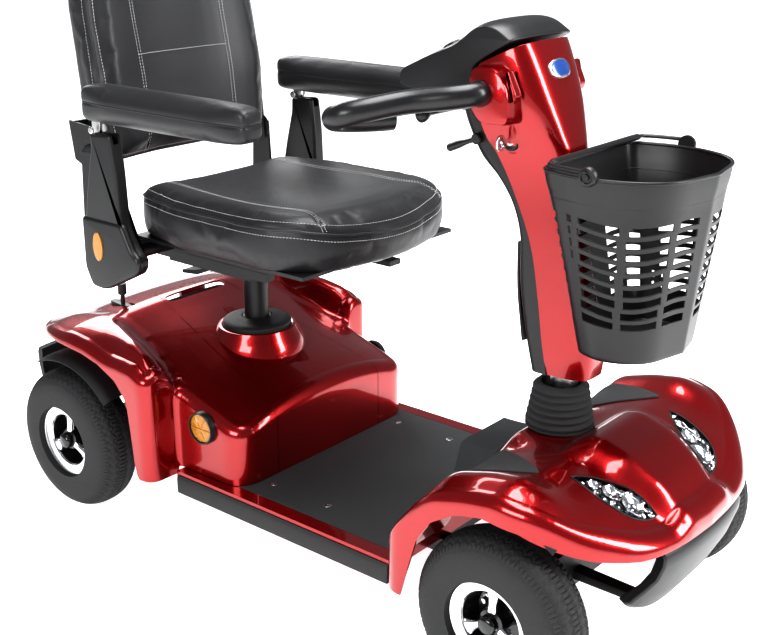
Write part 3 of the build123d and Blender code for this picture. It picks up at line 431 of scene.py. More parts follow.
def nose_height(x, y):
    """The height of the nose panel: two fender domes, two valleys and the hood between them."""
    y = abs(y)
    valley = eased(valley_line, x, 12)
    hood = max(0.0, eased(hood_line, x, 9) - valley)
    width = 112 - 26 * ramp_up(500, 620, x)
    hood_share = 1 - ramp_up(width * 0.5, width, y)
    dome = 15 * exp(-(((y - 232) / 34) ** 2)) * ramp_up(286, 350, x) * (1 - 0.8 * ramp_up(450, 560, x))
    fall = 12 * ramp_up(150, 290, y) * ramp_up(480, 580, x)
    return valley + hood * hood_share + dome - fall


mat_low, mat_high = (corner * 1000 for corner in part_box("deck_mat"))
pan_low, pan_high = (corner * 1000 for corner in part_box("floor_pan"))
paint(red, "floor_pan")


def mat_end(y):
    """How far forward the mat reaches at a distance from the middle line."""
    y = abs(y)
    if y < 96:
        return 322
    if y < 172:
        return 330 + 118 * ((y - 96) / 76) ** 0.85
    return 448 - 118 * ((y - 172) / 39) ** 1.5


mat_top = mat_low.z + 5
mat_rows = []
for row in range(91):
    y = -211 + 422 * row / 90
    line = []
    for k in range(101):
        x = mat_low.x + (mat_end(y) - mat_low.x) * k / 100
        z = mat_top if x < 232 else max(mat_top, nose_height(x, y) + 2.2)
        for screw_y in (-165, 165):
            for screw_x in (mat_low.x + 40, 45, pan_high.x - 45):
                away = hypot(x - screw_x, y - screw_y)
                z -= 1.2 * (1 - ramp_up(7, 13, away))
        line.append(mm(x, y, z))
    mat_rows.append(line)
points, faces = skin(mat_rows, closed=False, capped=False)
mat = add_mesh("deck_rubber_mat", points, faces, mat_rubber)


def thicken(piece, wall, offset=-1):
    """Gives a skin its wall."""
    wall_maker = piece.modifiers.new("wall", "SOLIDIFY")
    wall_maker.thickness = wall / 1000
    wall_maker.offset = offset
    wall_maker.use_even_offset = False
    return piece


def settle(piece):
    """Makes a piece's modifiers part of its mesh."""
    result = bpy.data.meshes.new_from_object(piece.evaluated_get(bpy.context.evaluated_depsgraph_get()))
    piece.modifiers.clear()
    piece.data = result
    return piece


thicken(mat, 2.4)
declare(settle(mat), "chassis", "mat_rubber", "deck_mat")


def screw_head(name, centre, axis, radius, height, finish, slot, body):
    """A low domed screw head with a hexagonal socket."""
    turn = Vector((0, 0, 1)).rotation_difference(Vector(axis)).to_matrix()
    rings = []
    for reach, level in ((1.0, 0), (1.0, 0.35), (0.93, 0.75), (0.72, 1), (0.5, 1.04), (0.46, 0.35), (0.02, 0.35)):
        ring = []
        for k in range(24):
            a = 2 * pi * k / 24
            corner = 1 if reach > 0.5 else cos(pi / 6) / cos((a % (pi / 3)) - pi / 6)
            ring.append(Vector(centre) + turn @ mm(radius * reach * corner * cos(a), radius * reach * corner * sin(a),
                                                   height * level))
        rings.append(ring)
    points, faces = skin(rings)
    return declare(add_mesh(name, points, faces, finish, 35), body, slot)


for k, screw_x in enumerate((mat_low.x + 40, 45, pan_high.x - 45)):
    for side_name, screw_y in (("left", 165), ("right", -165)):
        head = screw_head(f"mat_screw_{k + 1}_{side_name}", mm(screw_x, screw_y, mat_top - 1.8), (0, 0, 1), 7, 2.2,
                          screw_steel, "steel", "chassis")
        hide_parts("deck_screws")

strip_low, strip_high = (corner * 1000 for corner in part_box("side_strips"))
for side_name, side in (("left", 1), ("right", -1)):
    outer = strip_high.y
    profile = [(outer - 4, strip_low.z), (outer - 0.6, strip_low.z), (outer, strip_low.z + 2.5), (outer, 118),
               (outer - 0.8, 120), (outer - 2.6, strip_high.z), (outer - 4, strip_high.z)]
    sections = []
    for x, shrink in ((strip_low.x, 1.6), (strip_low.x + 1.5, 0.4), (strip_low.x + 5, 0), (strip_high.x - 5, 0),
                      (strip_high.x - 1.5, 0.4), (strip_high.x, 1.6)):
        sections.append([mm(x, side * (y - shrink * 0.6), z) for y, z in profile])
    points, faces = skin(sections)
    strip = add_mesh(f"side_strip_{side_name}", points, faces, grained_black, 50)
    declare(strip, "chassis", "black_plastic", "side_strips")

# ---------------------------------------------------------------- rear body and lid
# One glossy moulding covers the batteries and the drive and flares over both rear wheels. The
# middle of it lifts out as a lid, with a hand hole at its back and a boss round the seat post.


def filleted(corners, spacing=5):
    """An open outline through corners given as (x, y, radius), with rounded corners, evenly dense."""
    path = []
    for k, (x, y, radius) in enumerate(corners):
        here = Vector((x, y))
        if radius == 0 or k in (0, len(corners) - 1):
            path.append(here)
            continue
        back = Vector(corners[k - 1][:2]) - here
        ahead = Vector(corners[k + 1][:2]) - here
        reach = min(radius, back.length * 0.49, ahead.length * 0.49)
        start, end = here + back.normalized() * reach, here + ahead.normalized() * reach
        for step in range(9):
            t = step / 8
            path.append(start * (1 - t) ** 2 + here * 2 * t * (1 - t) + end * t * t)
    dense = []
    for a, b in zip(path, path[1:]):
        count = max(1, round((b - a).length / spacing))
        dense += [a.lerp(b, step / count) for step in range(count)]
    return dense + [path[-1]]


def moulded_half(outline, spine, height, foot, radius, steps=30, lean=0):
    """Rows of points of one half of a moulded shell: down from its spine, over the rounded edge and
    down the side to the foot. Heights and places are in millimetres."""
    rows = []
    count = len(outline)
    for k, edge in enumerate(outline):
        before, after = outline[max(0, k - 1)], outline[min(count - 1, k + 1)]
        along = (after - before).normalized()
        inward = Vector((-along.y, along.x))
        if k in (0, count - 1):
            inward = Vector((inward.x, 0)).normalized()
        bend = radius(edge.x, edge.y)
        rim = edge + inward * bend
        rim.y = max(0.0, rim.y)
        root = Vector(spine(k / (count - 1)))
        line = []
        for step in range(steps + 1):
            t = sin(step / steps * pi / 2)
            place = root.lerp(rim, t)
            line.append(mm(place.x, place.y, height(place.x, place.y)))
        top = height(rim.x, rim.y)
        low = foot(edge.x, edge.y)
        drop = min(bend, max(1.0, top - low - 1))
        for step in range(1, 8):
            a = pi / 2 * step / 7
            place = rim.lerp(edge, sin(a))
            line.append(mm(place.x, max(0.0, place.y), top - drop * (1 - cos(a))))
        for step in range(1, 9):
            z = top - drop + (low - top + drop) * step / 8
            out = -inward * lean * step / 8
            line.append(mm(edge.x + out.x, max(0.0, edge.y + out.y), z))
        rows.append(line)
    return rows


def mirrored_shell(name, rows, finish, sharp=50):
    """Both halves of a moulded shell as one skin."""
    points, faces = skin(rows, closed=False, capped=False)
    other = [Vector((point.x, -point.y, point.z)) for point in points]
    shift = len(points)
    faces += [tuple(reversed([index + shift for index in face])) for face in faces]
    piece = add_mesh(name, points + other, faces, finish, sharp)
    body = bmesh.new()
    body.from_mesh(piece.data)
    bmesh.ops.remove_doubles(body, verts=body.verts, dist=0.0004)
    bmesh.ops.dissolve_degenerate(body, edges=body.edges, dist=0.0001)
    bmesh.ops.recalc_face_normals(body, faces=body.faces)
    if sum(face.normal.z * face.calc_area() for face in body.faces) < 0:
        bmesh.ops.reverse_faces(body, faces=body.faces)
    body.to_mesh(piece.data)
    body.free()
    piece.data.shade_smooth()
    return piece


centre_line = [(-650, 292), (-632, 308), (-590, 331), (-526, 352), (-452, 363), (-400, 346), (-274, 309),
               (-150, 276), (-112, 262), (-90, 250)]
crown_line = [(-560, 14), (-430, 14), (-300, 22), (-155, 30), (-90, 34)]
crest_line = [(-640, 300), (-600, 316), (-540, 336), (-467, 350), (-416, 350), (-333, 343), (-290, 331), (-266, 312),
              (-251, 286)]
crest_place = [(-467, 205), (-416, 215), (-333, 240), (-280, 254), (-240, 258)]


def rear_height(x, y):
    """The height of the rear body: a crowned top and a dome over each wheel, with a dip between."""
    y = abs(y)
    middle = eased(centre_line, x, 14)
    top = middle - eased(crown_line, x) * (y / 200) ** 2.2
    place = between(crest_place, x)
    crest = eased(crest_line, x, 8)
    if y < place:
        dome = crest - 70 * ((place - y) / 60) ** 2
    else:
        dome = crest - (26 + 34 * ramp_up(-420, -330, x)) * ((y - place) / max(10, 285 - place)) ** 1.9
    lift = (1 - ramp_up(-262, -250, x))
    gap = dome - top
    blend = 7
    if lift <= 0 or gap < -blend * 4:
        return top
    return top + lift * blend * (sqrt(1 + (gap / blend / 2) ** 2) + gap / blend / 2)


rear_lip = [(-640, 292), (-600, 306), (-540, 322), (-473, 321), (-419, 317), (-377, 308), (-332, 288), (-309, 262),
            (-300, 236), (-296, 160), (-288, 124), (-284, 118), (-240, 118)]


def rear_foot(x, y):
    """The height of the rear body's lower edge."""
    if y > 224 and x < -240:
        return between(rear_lip, x)
    if x < -560:
        return between(rear_lip, x) - 2
    return 132


def rear_round(x, y):
    """How generously the top edge is rounded."""
    if x < -560:
        return 12
    if y > 224 and x < -240:
        return 20
    return 26


rear_outline = filleted(
    [(-97, 0, 0), (-98, 219, 46), (-252, 220, 15), (-252, 284.5, 26), (-505, 284.5, 90), (-606, 236, 50), (-624, 120, 60),
     (-627, 0, 0)],
    5,
)


def rear_spine(share):
    """The line along the middle that the shell's rows start from."""
    return (-150 - 430 * ramp_up(0.12, 0.95, share), 0)


rear_rows = moulded_half(rear_outline, rear_spine, rear_height, rear_foot, rear_round, 34)
rear_shell = mirrored_shell("rear_body_shell", rear_rows, red)
lid_back = -474
lid_wide = Vector((-125, 128))
lid_narrow = Vector((lid_back, 72))
joint_gap = 1.3


def keep_side(piece, place, away):
    """Cuts a skin on an upright plane and drops what lies on the far side."""
    body = bmesh.new()
    body.from_mesh(piece.data)
    everything = body.verts[:] + body.edges[:] + body.faces[:]
    bmesh.ops.bisect_plane(body, geom=everything, plane_co=place, plane_no=away, clear_outer=True, dist=0.00001)
    body.to_mesh(piece.data)
    body.free()


def copy_of(piece, name):
    """A second skin of the same shape."""
    twin = link(name, piece.data.copy())
    twin.data.name = name
    return twin


seam_run = (lid_narrow - lid_wide).normalized()
seam_out = Vector((seam_run.y, -seam_run.x))
if seam_out.y < 0:
    seam_out = -seam_out
lid = copy_of(rear_shell, "rear_lid_shell")
for side in (1, -1):
    away = Vector((seam_out.x, side * seam_out.y, 0))
    keep_side(lid, mm(lid_wide.x, side * (lid_wide.y - joint_gap / 2), 0), away)
keep_side(lid, mm(lid_back + joint_gap / 2, 0, 0), Vector((-1, 0, 0)))


def inside_lid(point):
    """Whether a point of the shell lies within the lid's outline, in millimetres."""
    from_seam = (abs(point.y) * 1000 - lid_wide.y) * seam_out.y + (point.x * 1000 - lid_wide.x) * seam_out.x
    return from_seam < -joint_gap / 2 and point.x * 1000 > lid_back


def cut_lid_opening(piece):
    """Splits the shell on the lid's three seams and takes out what the lid fills."""
    body = bmesh.new()
    body.from_mesh(piece.data)
    planes = [(mm(lid_back - joint_gap / 2, 0, 0), Vector((1, 0, 0)))]
    for side in (1, -1):
        planes.append((mm(lid_wide.x, side * (lid_wide.y + joint_gap / 2), 0),
                       Vector((seam_out.x, side * seam_out.y, 0))))
    for place, away in planes:
        everything = body.verts[:] + body.edges[:] + body.faces[:]
        bmesh.ops.bisect_plane(body, geom=everything, plane_co=place, plane_no=away, dist=0.00001)
    inner = [face for face in body.faces if inside_lid(face.calc_center_median())]
    bmesh.ops.delete(body, geom=inner, context="FACES")
    body.to_mesh(piece.data)
    body.free()


cut_lid_opening(rear_shell)


def cut_hole(piece, outline):
    """Cuts an upright hole of a given plan outline, in millimetres, through a finished skin."""
    cutter_points = [mm(x, y, 0) for x, y in outline] + [mm(x, y, 900) for x, y in outline]
    count = len(outline)
    walls = [(k, (k + 1) % count, count + (k + 1) % count, count + k) for k in range(count)]
    walls += [tuple(reversed(range(count))), tuple(range(count, 2 * count))]
    cutter = add_mesh("cutter", cutter_points, walls, satin_black)
    knife = piece.modifiers.new("hole", "BOOLEAN")
    knife.operation = "DIFFERENCE"
    knife.solver = "EXACT"
    knife.object = cutter
    settle(piece)
    bpy.data.objects.remove(cutter)


def oval(cx, cy, half_x, half_y, power=2.0, count=36):
    """A rounded plan outline about a centre."""
    shape = []
    for k in range(count):
        a = 2 * pi * k / count
        shape.append((cx + half_x * (abs(cos(a)) ** (2 / power)) * (1 if cos(a) >= 0 else -1),
                      cy + half_y * (abs(sin(a)) ** (2 / power)) * (1 if sin(a) >= 0 else -1)))
    return shape


post_place = (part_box("seat_post")[0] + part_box("seat_post")[1]) / 2 * 1000
for shell in (rear_shell, lid):
    thicken(shell, 3.2)
    settle(shell)
cut_hole(lid, oval(-438, 0, 11, 70, 5))
cut_hole(lid, oval(post_place.x, 0, 58, 58))
cut_hole(rear_shell, oval(-492, -130, 31, 8, 4))
for shell in (rear_shell, lid):
    shell.data.shade_smooth()
    shell.data.set_sharp_from_angle(angle=radians(42))
declare(rear_shell, "chassis", "red_panel", "rear_body")
declare(lid, "chassis", "red_panel", "rear_lid")

# ---------------------------------------------------------------- rear trim
# Black bumper under the tail, two red lamps, a round amber reflector on each side of the body, the
# black collar disc round the seat post and the freewheel lever in its slot.


def rounded_slab(name, outline, low, high, edge, finish, place, sharp=50, crown=0):
    """A slab of an outline between two levels with rounded edges. place turns (a, b, level) in
    millimetres into a point. crown lifts the middle of both faces."""
    count = len(outline)
    area = sum(outline[k][0] * outline[(k + 1) % count][1] - outline[(k + 1) % count][0] * outline[k][1]
               for k in range(count))
    way = 1 if area > 0 else -1
    inward = []
    for k in range(count):
        run = Vector(outline[(k + 1) % count]) - Vector(outline[k - 1])
        inward.append(Vector((-run.y, run.x)).normalized() * way)
    levels = [(edge * (1 - sin(a)), edge * (1 - cos(a))) for a in [radians(15 * k) for k in range(7)]]
    rings = []
    centre = sum((Vector(point) for point in outline), Vector((0, 0))) / count
    lifts = [(0.04, 1.0), (0.35, 0.88), (0.7, 0.5), (0.92, 0.14)] if crown else []
    for share, lift in lifts:
        rings.append([(Vector(p) + i * edge - centre) * share + centre for p, i in zip(outline, inward)])
    body = [place(p.x, p.y, low - crown * lift) for (share, lift), ring in zip(lifts, rings) for p in ring]
    sections = [body[k * count:(k + 1) * count] for k in range(len(lifts))]
    for inset, drop in levels:
        ring = [Vector(p) + i * inset for p, i in zip(outline, inward)]
        sections.append([place(p.x, p.y, low + edge - (edge - drop)) for p in ring])
    for inset, drop in reversed(levels):
        ring = [Vector(p) + i * inset for p, i in zip(outline, inward)]
        sections.append([place(p.x, p.y, high - edge + (edge - drop)) for p in ring])
    for (share, lift), ring in zip(reversed(lifts), reversed(rings)):
        sections.append([place(p.x, p.y, high + crown * lift) for p in ring])
    points, faces = skin(sections)
    return add_mesh(name, points, faces, finish, sharp)


def closed_path(corners, spacing=4):
    """A closed outline through rounded corners (x, y, radius)."""
    start = ((corners[0][0] + corners[-1][0]) / 2, (corners[0][1] + corners[-1][1]) / 2, 0)
    path = filleted([start, *corners, start], spacing)[:-1]
    return [(p.x, p.y) for p in path]


def side_plane(x, z, y):
    """A point given by its length, height and distance sideways."""
    return mm(x, y, z)


bumper_low, bumper_high = (corner * 1000 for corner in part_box("rear_bumper"))
bumper_rings = []
for k in range(41):
    y = -238 + 476 * k / 40
    back = bumper_low.x - 1 + 16 * (abs(y) / 238) ** 3
    bumper_rings.append([
        mm(back + 14, y, bumper_high.z), mm(back + 5, y, bumper_high.z + 2), mm(back, y, bumper_high.z - 7),
        mm(back + 1, y, 236), mm(back + 6, y, 214), mm(back + 11, y, bumper_low.z), mm(back + 16, y, bumper_low.z),
        mm(back + 12, y, 236),
    ])
points, faces = skin(bumper_rings)
rear_guard = add_mesh("rear_bumper_bar", points, faces, grained_black, 48)
declare(rear_guard, "chassis", "black_plastic", "rear_bumper")

red_lens = finish_of("red_lamp_lens", (0.5, 0.008, 0.01), (0.36, 0.004, 0.006), 0.16, 260, 0.06, 0.0, 1.0)
amber = finish_of("amber_reflector", (0.78, 0.36, 0.02), (0.5, 0.2, 0.01), 0.18, 900, 0.3, 0.25, 1.0)
lamp_low, lamp_high = (corner * 1000 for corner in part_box("rear_lights"))
for side_name, side in (("left", 1), ("right", -1)):
    outline = closed_path([(side * 118, lamp_low.z, 5), (side * 184, lamp_low.z, 5), (side * 184, lamp_high.z, 5),
                           (side * 118, lamp_high.z, 5)])
    lamp = rounded_slab(f"rear_lamp_{side_name}", outline, lamp_low.x, lamp_low.x + 12, 3, red_lens,
                        lambda a, b, level: mm(level, a, b))
    declare(lamp, "chassis", "red_lens", "rear_lights")

disc_low, disc_high = (corner * 1000 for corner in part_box("side_reflectors"))
disc_centre = (disc_low + disc_high) / 2
for side_name, side in (("left", 1), ("right", -1)):
    hub = mm(disc_centre.x, 0, disc_centre.z)
    bezel = turned(f"reflector_rim_{side_name}", [(29, 218), (29, 225), (27.5, 229), (25.5, 229), (25, 226), (25, 218)],
                   hub, side, satin_black, 64)
    declare(bezel, "chassis", "black_plastic")
    rings = []
    for reach, level in ((25.2, 224.5), (24.5, 226.5), (20, 227.4), (14, 227.8), (8, 228), (3, 228.2), (0.05, 228.2)):
        ring = []
        for k in range(72):
            a = 2 * pi * k / 72
            rib = 1.1 * (1 - min(1.0, abs(sin(3 * a)) * reach / 2.2))
            pyramid = 0.35 * (zigzag(reach * cos(a) / 5) + zigzag(reach * sin(a) / 5))
            ring.append(hub + mm(reach * cos(a), side * (level - rib + pyramid * 0.4), reach * sin(a)))
        rings.append(ring)
    points, faces = skin(rings)
    lens = add_mesh(f"reflector_lens_{side_name}", points, faces, amber, 15)
    declare(lens, "chassis", "amber_lens", "side_reflectors")

pedestal_low, pedestal_high = (corner * 1000 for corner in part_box("seat_pedestal"))
post_centre = mm(post_place.x, 0, 0)


def turned_up(name, profile, centre, finish, steps=96, sharp=40):
    """A piece turned round an upright line from (radius, height) in millimetres."""
    rings = []
    for k in range(steps + 1):
        a = 2 * pi * (k % steps) / steps
        rings.append([centre + mm(r * cos(a), r * sin(a), z) for r, z in profile])
    points, faces = skin(rings, closed=True, capped=False)
    return add_mesh(name, points, faces, finish, sharp)


boss_top = pedestal_high.z
boss_profile = [(88, rear_height(-200, 0) - 8), (84, 302), (79, 312), (74, 321), (70, boss_top - 16), (66, boss_top - 15),
                (60, boss_top - 17), (58, boss_top - 24), (60, 296), (80, 292)]
boss = turned_up("seat_post_boss", boss_profile, post_centre, red)
declare(boss, "chassis", "red_panel")
collar_profile = [(62, boss_top - 18), (62, boss_top - 9), (59, boss_top - 6), (50, boss_top - 4), (40, boss_top - 3),
                  (31, boss_top), (27.5, boss_top), (27.5, boss_top - 18)]
collar = turned_up("seat_post_collar_disc", collar_profile, post_centre, grained_black)
declare(collar, "chassis", "black_plastic", "seat_pedestal")
paint(satin_black, "freewheel_lever", "anti_tip_wheel_left", "anti_tip_wheel_right")
slot_plate = rounded_slab("freewheel_slot_plate", [(x, y) for x, y in oval(-492, -130, 30, 8.5, 4)],
                          rear_height(-492, -130) - 4, rear_height(-492, -130) + 1.6, 1.4, satin_black,
                          lambda a, b, level: mm(a, b, level - (a + 492) * 0.05))
hand_well = []
for z, half_x, half_y in ((350, 12.5, 71.5), (330, 11.5, 70), (322, 9, 66)):
    hand_well.append([mm(x, y, z) for x, y in oval(-438, 0, half_x, half_y, 5)])
points, faces = skin(hand_well, capped=False)
faces.append(tuple(range(len(points) - 36, len(points))))
well = thicken(add_mesh("lid_hand_well", points, faces, satin_black), 1.5)
for piece in (slot_plate, settle(well)):
    declare(piece, "chassis", "black_plastic")

# ---------------------------------------------------------------- nose panel
# The front moulding: a fender over each front wheel that sweeps down to the deck, a hood round the
# steering column and a rounded nose with a lamp let into each side.

nose_outline = filleted(
    [(629, 0, 0), (626, 78, 50), (612, 156, 60), (560, 236, 70), (492, 284.5, 90), (380, 284.5, 40),
     (262, 284.5, 34), (245, 226, 16), (238, 212, 10), (238, 0, 0)],
    4,
)
nose_lip = [(236, 118), (292, 118), (300, 148), (311, 184), (321, 218), (346, 254), (388, 280), (430, 289),
            (485, 283), (528, 264), (569, 246), (605, 234), (630, 229)]


def nose_foot(x, y):
    """The height of the nose panel's lower edge."""
    if x < 244:
        return 120
    return between(nose_lip, x)


def nose_round(x, y):
    """How generously the top edge is rounded: full on the fender, tight at the deck."""
    if x < 250:
        return 4
    if x < 330:
        return 4 + 16 * ramp_up(250, 330, x)
    return 20 + 12 * ramp_up(520, 600, x)


def nose_spine(share):
    """The line along the middle that the nose panel's rows start from."""
    return (560 - 250 * ramp_up(0.15, 0.95, share), 0)


nose_rows = moulded_half(nose_outline, nose_spine, nose_height, nose_foot, nose_round, 56)
nose_shell = mirrored_shell("nose_panel_shell", nose_rows, red)
thicken(nose_shell, 3.2)
settle(nose_shell)
column_x = frame["record"]["behaviour"]["joints"][0]["pos_m"][0] * 1000
cut_hole(nose_shell, oval(column_x, 0, 40, 40))


def lamp_outline(side, grow=0, count=14):
    """The almond plan of a lamp, pointed at both ends."""
    tip, corner = Vector((480 - 2 * grow, 146 + grow)), Vector((584 + 2 * grow, 82 - grow))
    outer, inner = Vector((556 + grow, 138 + grow)), Vector((528 - grow, 98 - grow))
    path = []
    for start, bend, end in ((tip, outer, corner), (corner, inner, tip)):
        through = bend * 2 - (start + end) / 2
        for step in range(count):
            t = step / count
            path.append(start * (1 - t) ** 2 + through * 2 * t * (1 - t) + end * t * t)
    return [(p.x, side * p.y) for p in path]


for side in (1, -1):
    cut_hole(nose_shell, lamp_outline(side))
nose_shell.data.shade_smooth()
nose_shell.data.set_sharp_from_angle(angle=radians(42))
declare(nose_shell, "chassis", "red_panel", "front_cowl")

# ---------------------------------------------------------------- headlights
# Each lamp is a clear lens over a facetted chrome floor holding three bright reflector bowls, with a thin black seal
# round it.


def clear_plastic():
    """Clear moulded polycarbonate with a faint tint and slight ripple."""
    made, parts, links, shader = shader_tree("clear_lens")
    place = parts.new("ShaderNodeTexCoord")
    ripple = parts.new("ShaderNodeTexNoise")
    ripple.inputs["Scale"].default_value = 60
    tint = parts.new("ShaderNodeMix")
    tint.data_type = "RGBA"
    tint.inputs["A"].default_value = (0.93, 0.95, 0.97, 1)
    tint.inputs["B"].default_value = (0.98, 0.98, 0.98, 1)
    bump = parts.new("ShaderNodeBump")
    bump.inputs["Strength"].default_value = 0.05
    bump.inputs["Distance"].default_value = 0.001
    links.new(place.outputs["Object"], ripple.inputs["Vector"])
    links.new(ripple.outputs["Fac"], tint.inputs["Factor"])
    links.new(tint.outputs["Result"], shader.inputs["Base Color"])
    links.new(ripple.outputs["Fac"], bump.inputs["Height"])
    links.new(bump.outputs["Normal"], shader.inputs["Normal"])
    shader.inputs["Roughness"].default_value = 0.03
    shader.inputs["IOR"].default_value = 1.1
    shader.inputs["Transmission Weight"].default_value = 1.0
    return made


def chrome_bowl():
    """Vacuum plated reflector with pressed facets, and painted glints and painted shade: its colour is bright in each
    facet's middle and dark at its edges.
    """
    made, parts, links, shader = shader_tree("facetted_chrome_painted_glints")
    place = parts.new("ShaderNodeTexCoord")
    facets_and_glints = parts.new("ShaderNodeTexVoronoi")
    facets_and_glints.inputs["Scale"].default_value = 120
    # Painted light: the plating's colour runs from bright in each facet's middle to dark at its edges, as painted
    # glints and painted shade between the facets.
    tone = parts.new("ShaderNodeMix")
    tone.data_type = "RGBA"
    tone.inputs["A"].default_value = (0.9, 0.9, 0.92, 1)
    tone.inputs["B"].default_value = (0.25, 0.25, 0.27, 1)
    bump = parts.new("ShaderNodeBump")
    bump.inputs["Strength"].default_value = 0.9
    bump.inputs["Distance"].default_value = 0.004
    links.new(place.outputs["Object"], facets_and_glints.inputs["Vector"])
    links.new(facets_and_glints.outputs["Distance"], tone.inputs["Factor"])
    links.new(tone.outputs["Result"], shader.inputs["Base Color"])
    links.new(facets_and_glints.outputs["Distance"], bump.inputs["Height"])
    links.new(bump.outputs["Normal"], shader.inputs["Normal"])
    shader.inputs["Metallic"].default_value = 1.0
    shader.inputs["Roughness"].default_value = 0.12
    return made


lens_clear = clear_plastic()
chrome = chrome_bowl()


def patch_over(name, outline, level, finish, wall, sharp=60):
    """A thin patch of a plan outline that follows the nose panel at a level above it."""
    centre = sum((Vector(p) for p in outline), Vector((0, 0))) / len(outline)
    rings = []
    for share in (1.0, 0.86, 0.68, 0.5, 0.32, 0.16, 0.03):
        ring = []
        for point in outline:
            place = centre.lerp(Vector(point), share)
            ring.append(mm(place.x, place.y, nose_height(place.x, place.y) + level * (1 if share < 1 else 0.3)))
        rings.append(ring)
    points, faces = skin(rings, capped=False)
    faces.append(tuple(range(len(points) - len(outline), len(points))))
    return settle(thicken(add_mesh(name, points, faces, finish, sharp), wall))


def bead(name, path, radius, finish, closed=True, resolution=4):
    """A round bead or rod that follows a path of points."""
    curve = bpy.data.curves.new(name, "CURVE")
    curve.dimensions = "3D"
    curve.bevel_depth = radius / 1000
    curve.bevel_resolution = resolution
    curve.use_fill_caps = True
    strand = curve.splines.new("POLY")
    strand.points.add(len(path) - 1)
    for knot, point in zip(strand.points, path):
        knot.co = (*point, 1)
    strand.use_cyclic_u = closed
    curve.materials.append(finish)
    thing = link(name + "_line", curve)
    bpy.context.view_layer.update()
    mesh = bpy.data.meshes.new_from_object(thing.evaluated_get(bpy.context.evaluated_depsgraph_get()))
    mesh.name = name
    bpy.data.objects.remove(thing)
    mesh.shade_smooth()
    return link(name, mesh)


for side_name, side in (("left", 1), ("right", -1)):
    outline = lamp_outline(side, -0.6)
    floor_patch = patch_over(f"headlight_bowl_{side_name}", outline, -7, chrome, 1.5)
    lens = patch_over(f"headlight_lens_{side_name}", outline, 1.6, lens_clear, 1.6)
    seal = bead(f"headlight_seal_{side_name}",
                [mm(x, y, nose_height(x, y) + 0.2) for x, y in lamp_outline(side, -0.2)], 1.3, satin_black)
    declare(lens, "chassis", "clear_lens", "headlights")
    declare(floor_patch, "chassis", "bright_steel")
    declare(seal, "chassis", "black_plastic")
    for k, (x, y, reach) in enumerate(((556, 104, 15), (529, 118, 12), (508, 130, 8))):
        rings = []
        for share in (1.0, 0.92, 0.75, 0.5, 0.25, 0.05):
            rings.append([mm(x + reach * share * cos(a), side * y + reach * share * sin(a),
                             nose_height(x, y) - 1.5 - 7 * (1 - share * share)
                             + (nose_height(x + reach * share * cos(a), y) - nose_height(x, y)))
                          for a in [2 * pi * j / 32 for j in range(32)]])
        points, faces = skin(rings, capped=False)
        bowl = settle(thicken(add_mesh(f"lamp_reflector_{k + 1}_{side_name}", points, faces, bright_ring), 0.8))
        declare(bowl, "chassis", "bright_steel")

# ---------------------------------------------------------------- front bumper and wheel liners
# A black bumper blade hangs under the nose, and dark liners close the wheel arches.

blade_rings = []
blade_low, blade_high = (corner * 1000 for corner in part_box("front_bumper"))
for k in range(37):
    y = -118 + 236 * k / 36
    edge = abs(y) / 118
    back = 13 * edge ** 2.6
    rise = 22 * edge ** 5
    outer_line = [(626, 231), (632, 222), (631, 208), (622, 178), (604, 143), (584, blade_low.z + 5),
                  (574, blade_low.z)]
    inner_line = [(562, blade_low.z + 4), (570, 122), (594, 158), (608, 190), (614, 214), (612, 230)]
    ring = [mm(x - back, y, z + rise * (1 - ramp_up(blade_low.z, 215, z))) for x, z in outer_line]
    ring += [mm(x - back, y * 0.97, z + rise * (1 - ramp_up(blade_low.z, 215, z))) for x, z in inner_line]
    blade_rings.append(ring)
points, faces = skin(blade_rings)
blade = add_mesh("front_bumper_blade", points, faces, satin_black, 55)
rounding = blade.modifiers.new("soft_edges", "BEVEL")
rounding.width = 0.003
rounding.segments = 3
rounding.limit_method = "ANGLE"
rounding.angle_limit = radians(48)
declare(settle(blade), "chassis", "black_plastic", "front_bumper")
for side_name, side in (("left", 1), ("right", -1)):
    strap = rounded_slab(f"bumper_strap_{side_name}", closed_path([(455, 114, 4), (566, 114, 4), (572, 126, 4),
                                                                   (455, 130, 4)]),
                         side * 72 - 11, side * 72 + 11, 2, powder_black, side_plane)
    declare(strap, "chassis", "frame_paint")
    for end, arch, reach, inner, outer in (("rear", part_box("tyre_rear_left"), 158, 196, 280),
                                           ("front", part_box("tyre_front_left"), 166, 142, 266)):
        hub = (arch[0] + arch[1]) / 2 * 1000
        start, stop = (42, 116) if end == "rear" else (58, 142)
        rows = []
        for k in range(33):
            a = radians(start + (stop - start) * k / 32)
            x, z = hub.x + reach * cos(a), hub.z + reach * sin(a)
            if end == "front":
                z = min(z, nose_height(x, 200) - 12)
                z = min(z, nose_height(x, 262) - 22)
            else:
                z = min(z, rear_height(x, 250) - 14)
            rows.append([mm(x, side * inner, z - 26), mm(x, side * inner, z), mm(x, side * (inner + 30), z + 2),
                         mm(x, side * (outer - 20), z), mm(x, side * outer, z - 6)])
        points, faces = skin(rows, closed=False, capped=False)
        liner = settle(thicken(add_mesh(f"wheel_liner_{end}_{side_name}", points, faces, grained_black), 2))
        declare(liner, "chassis", "black_plastic")

# ---------------------------------------------------------------- steering gaiter
# A rubber bellows of six folds closes the gap between the nose panel and the tiller.

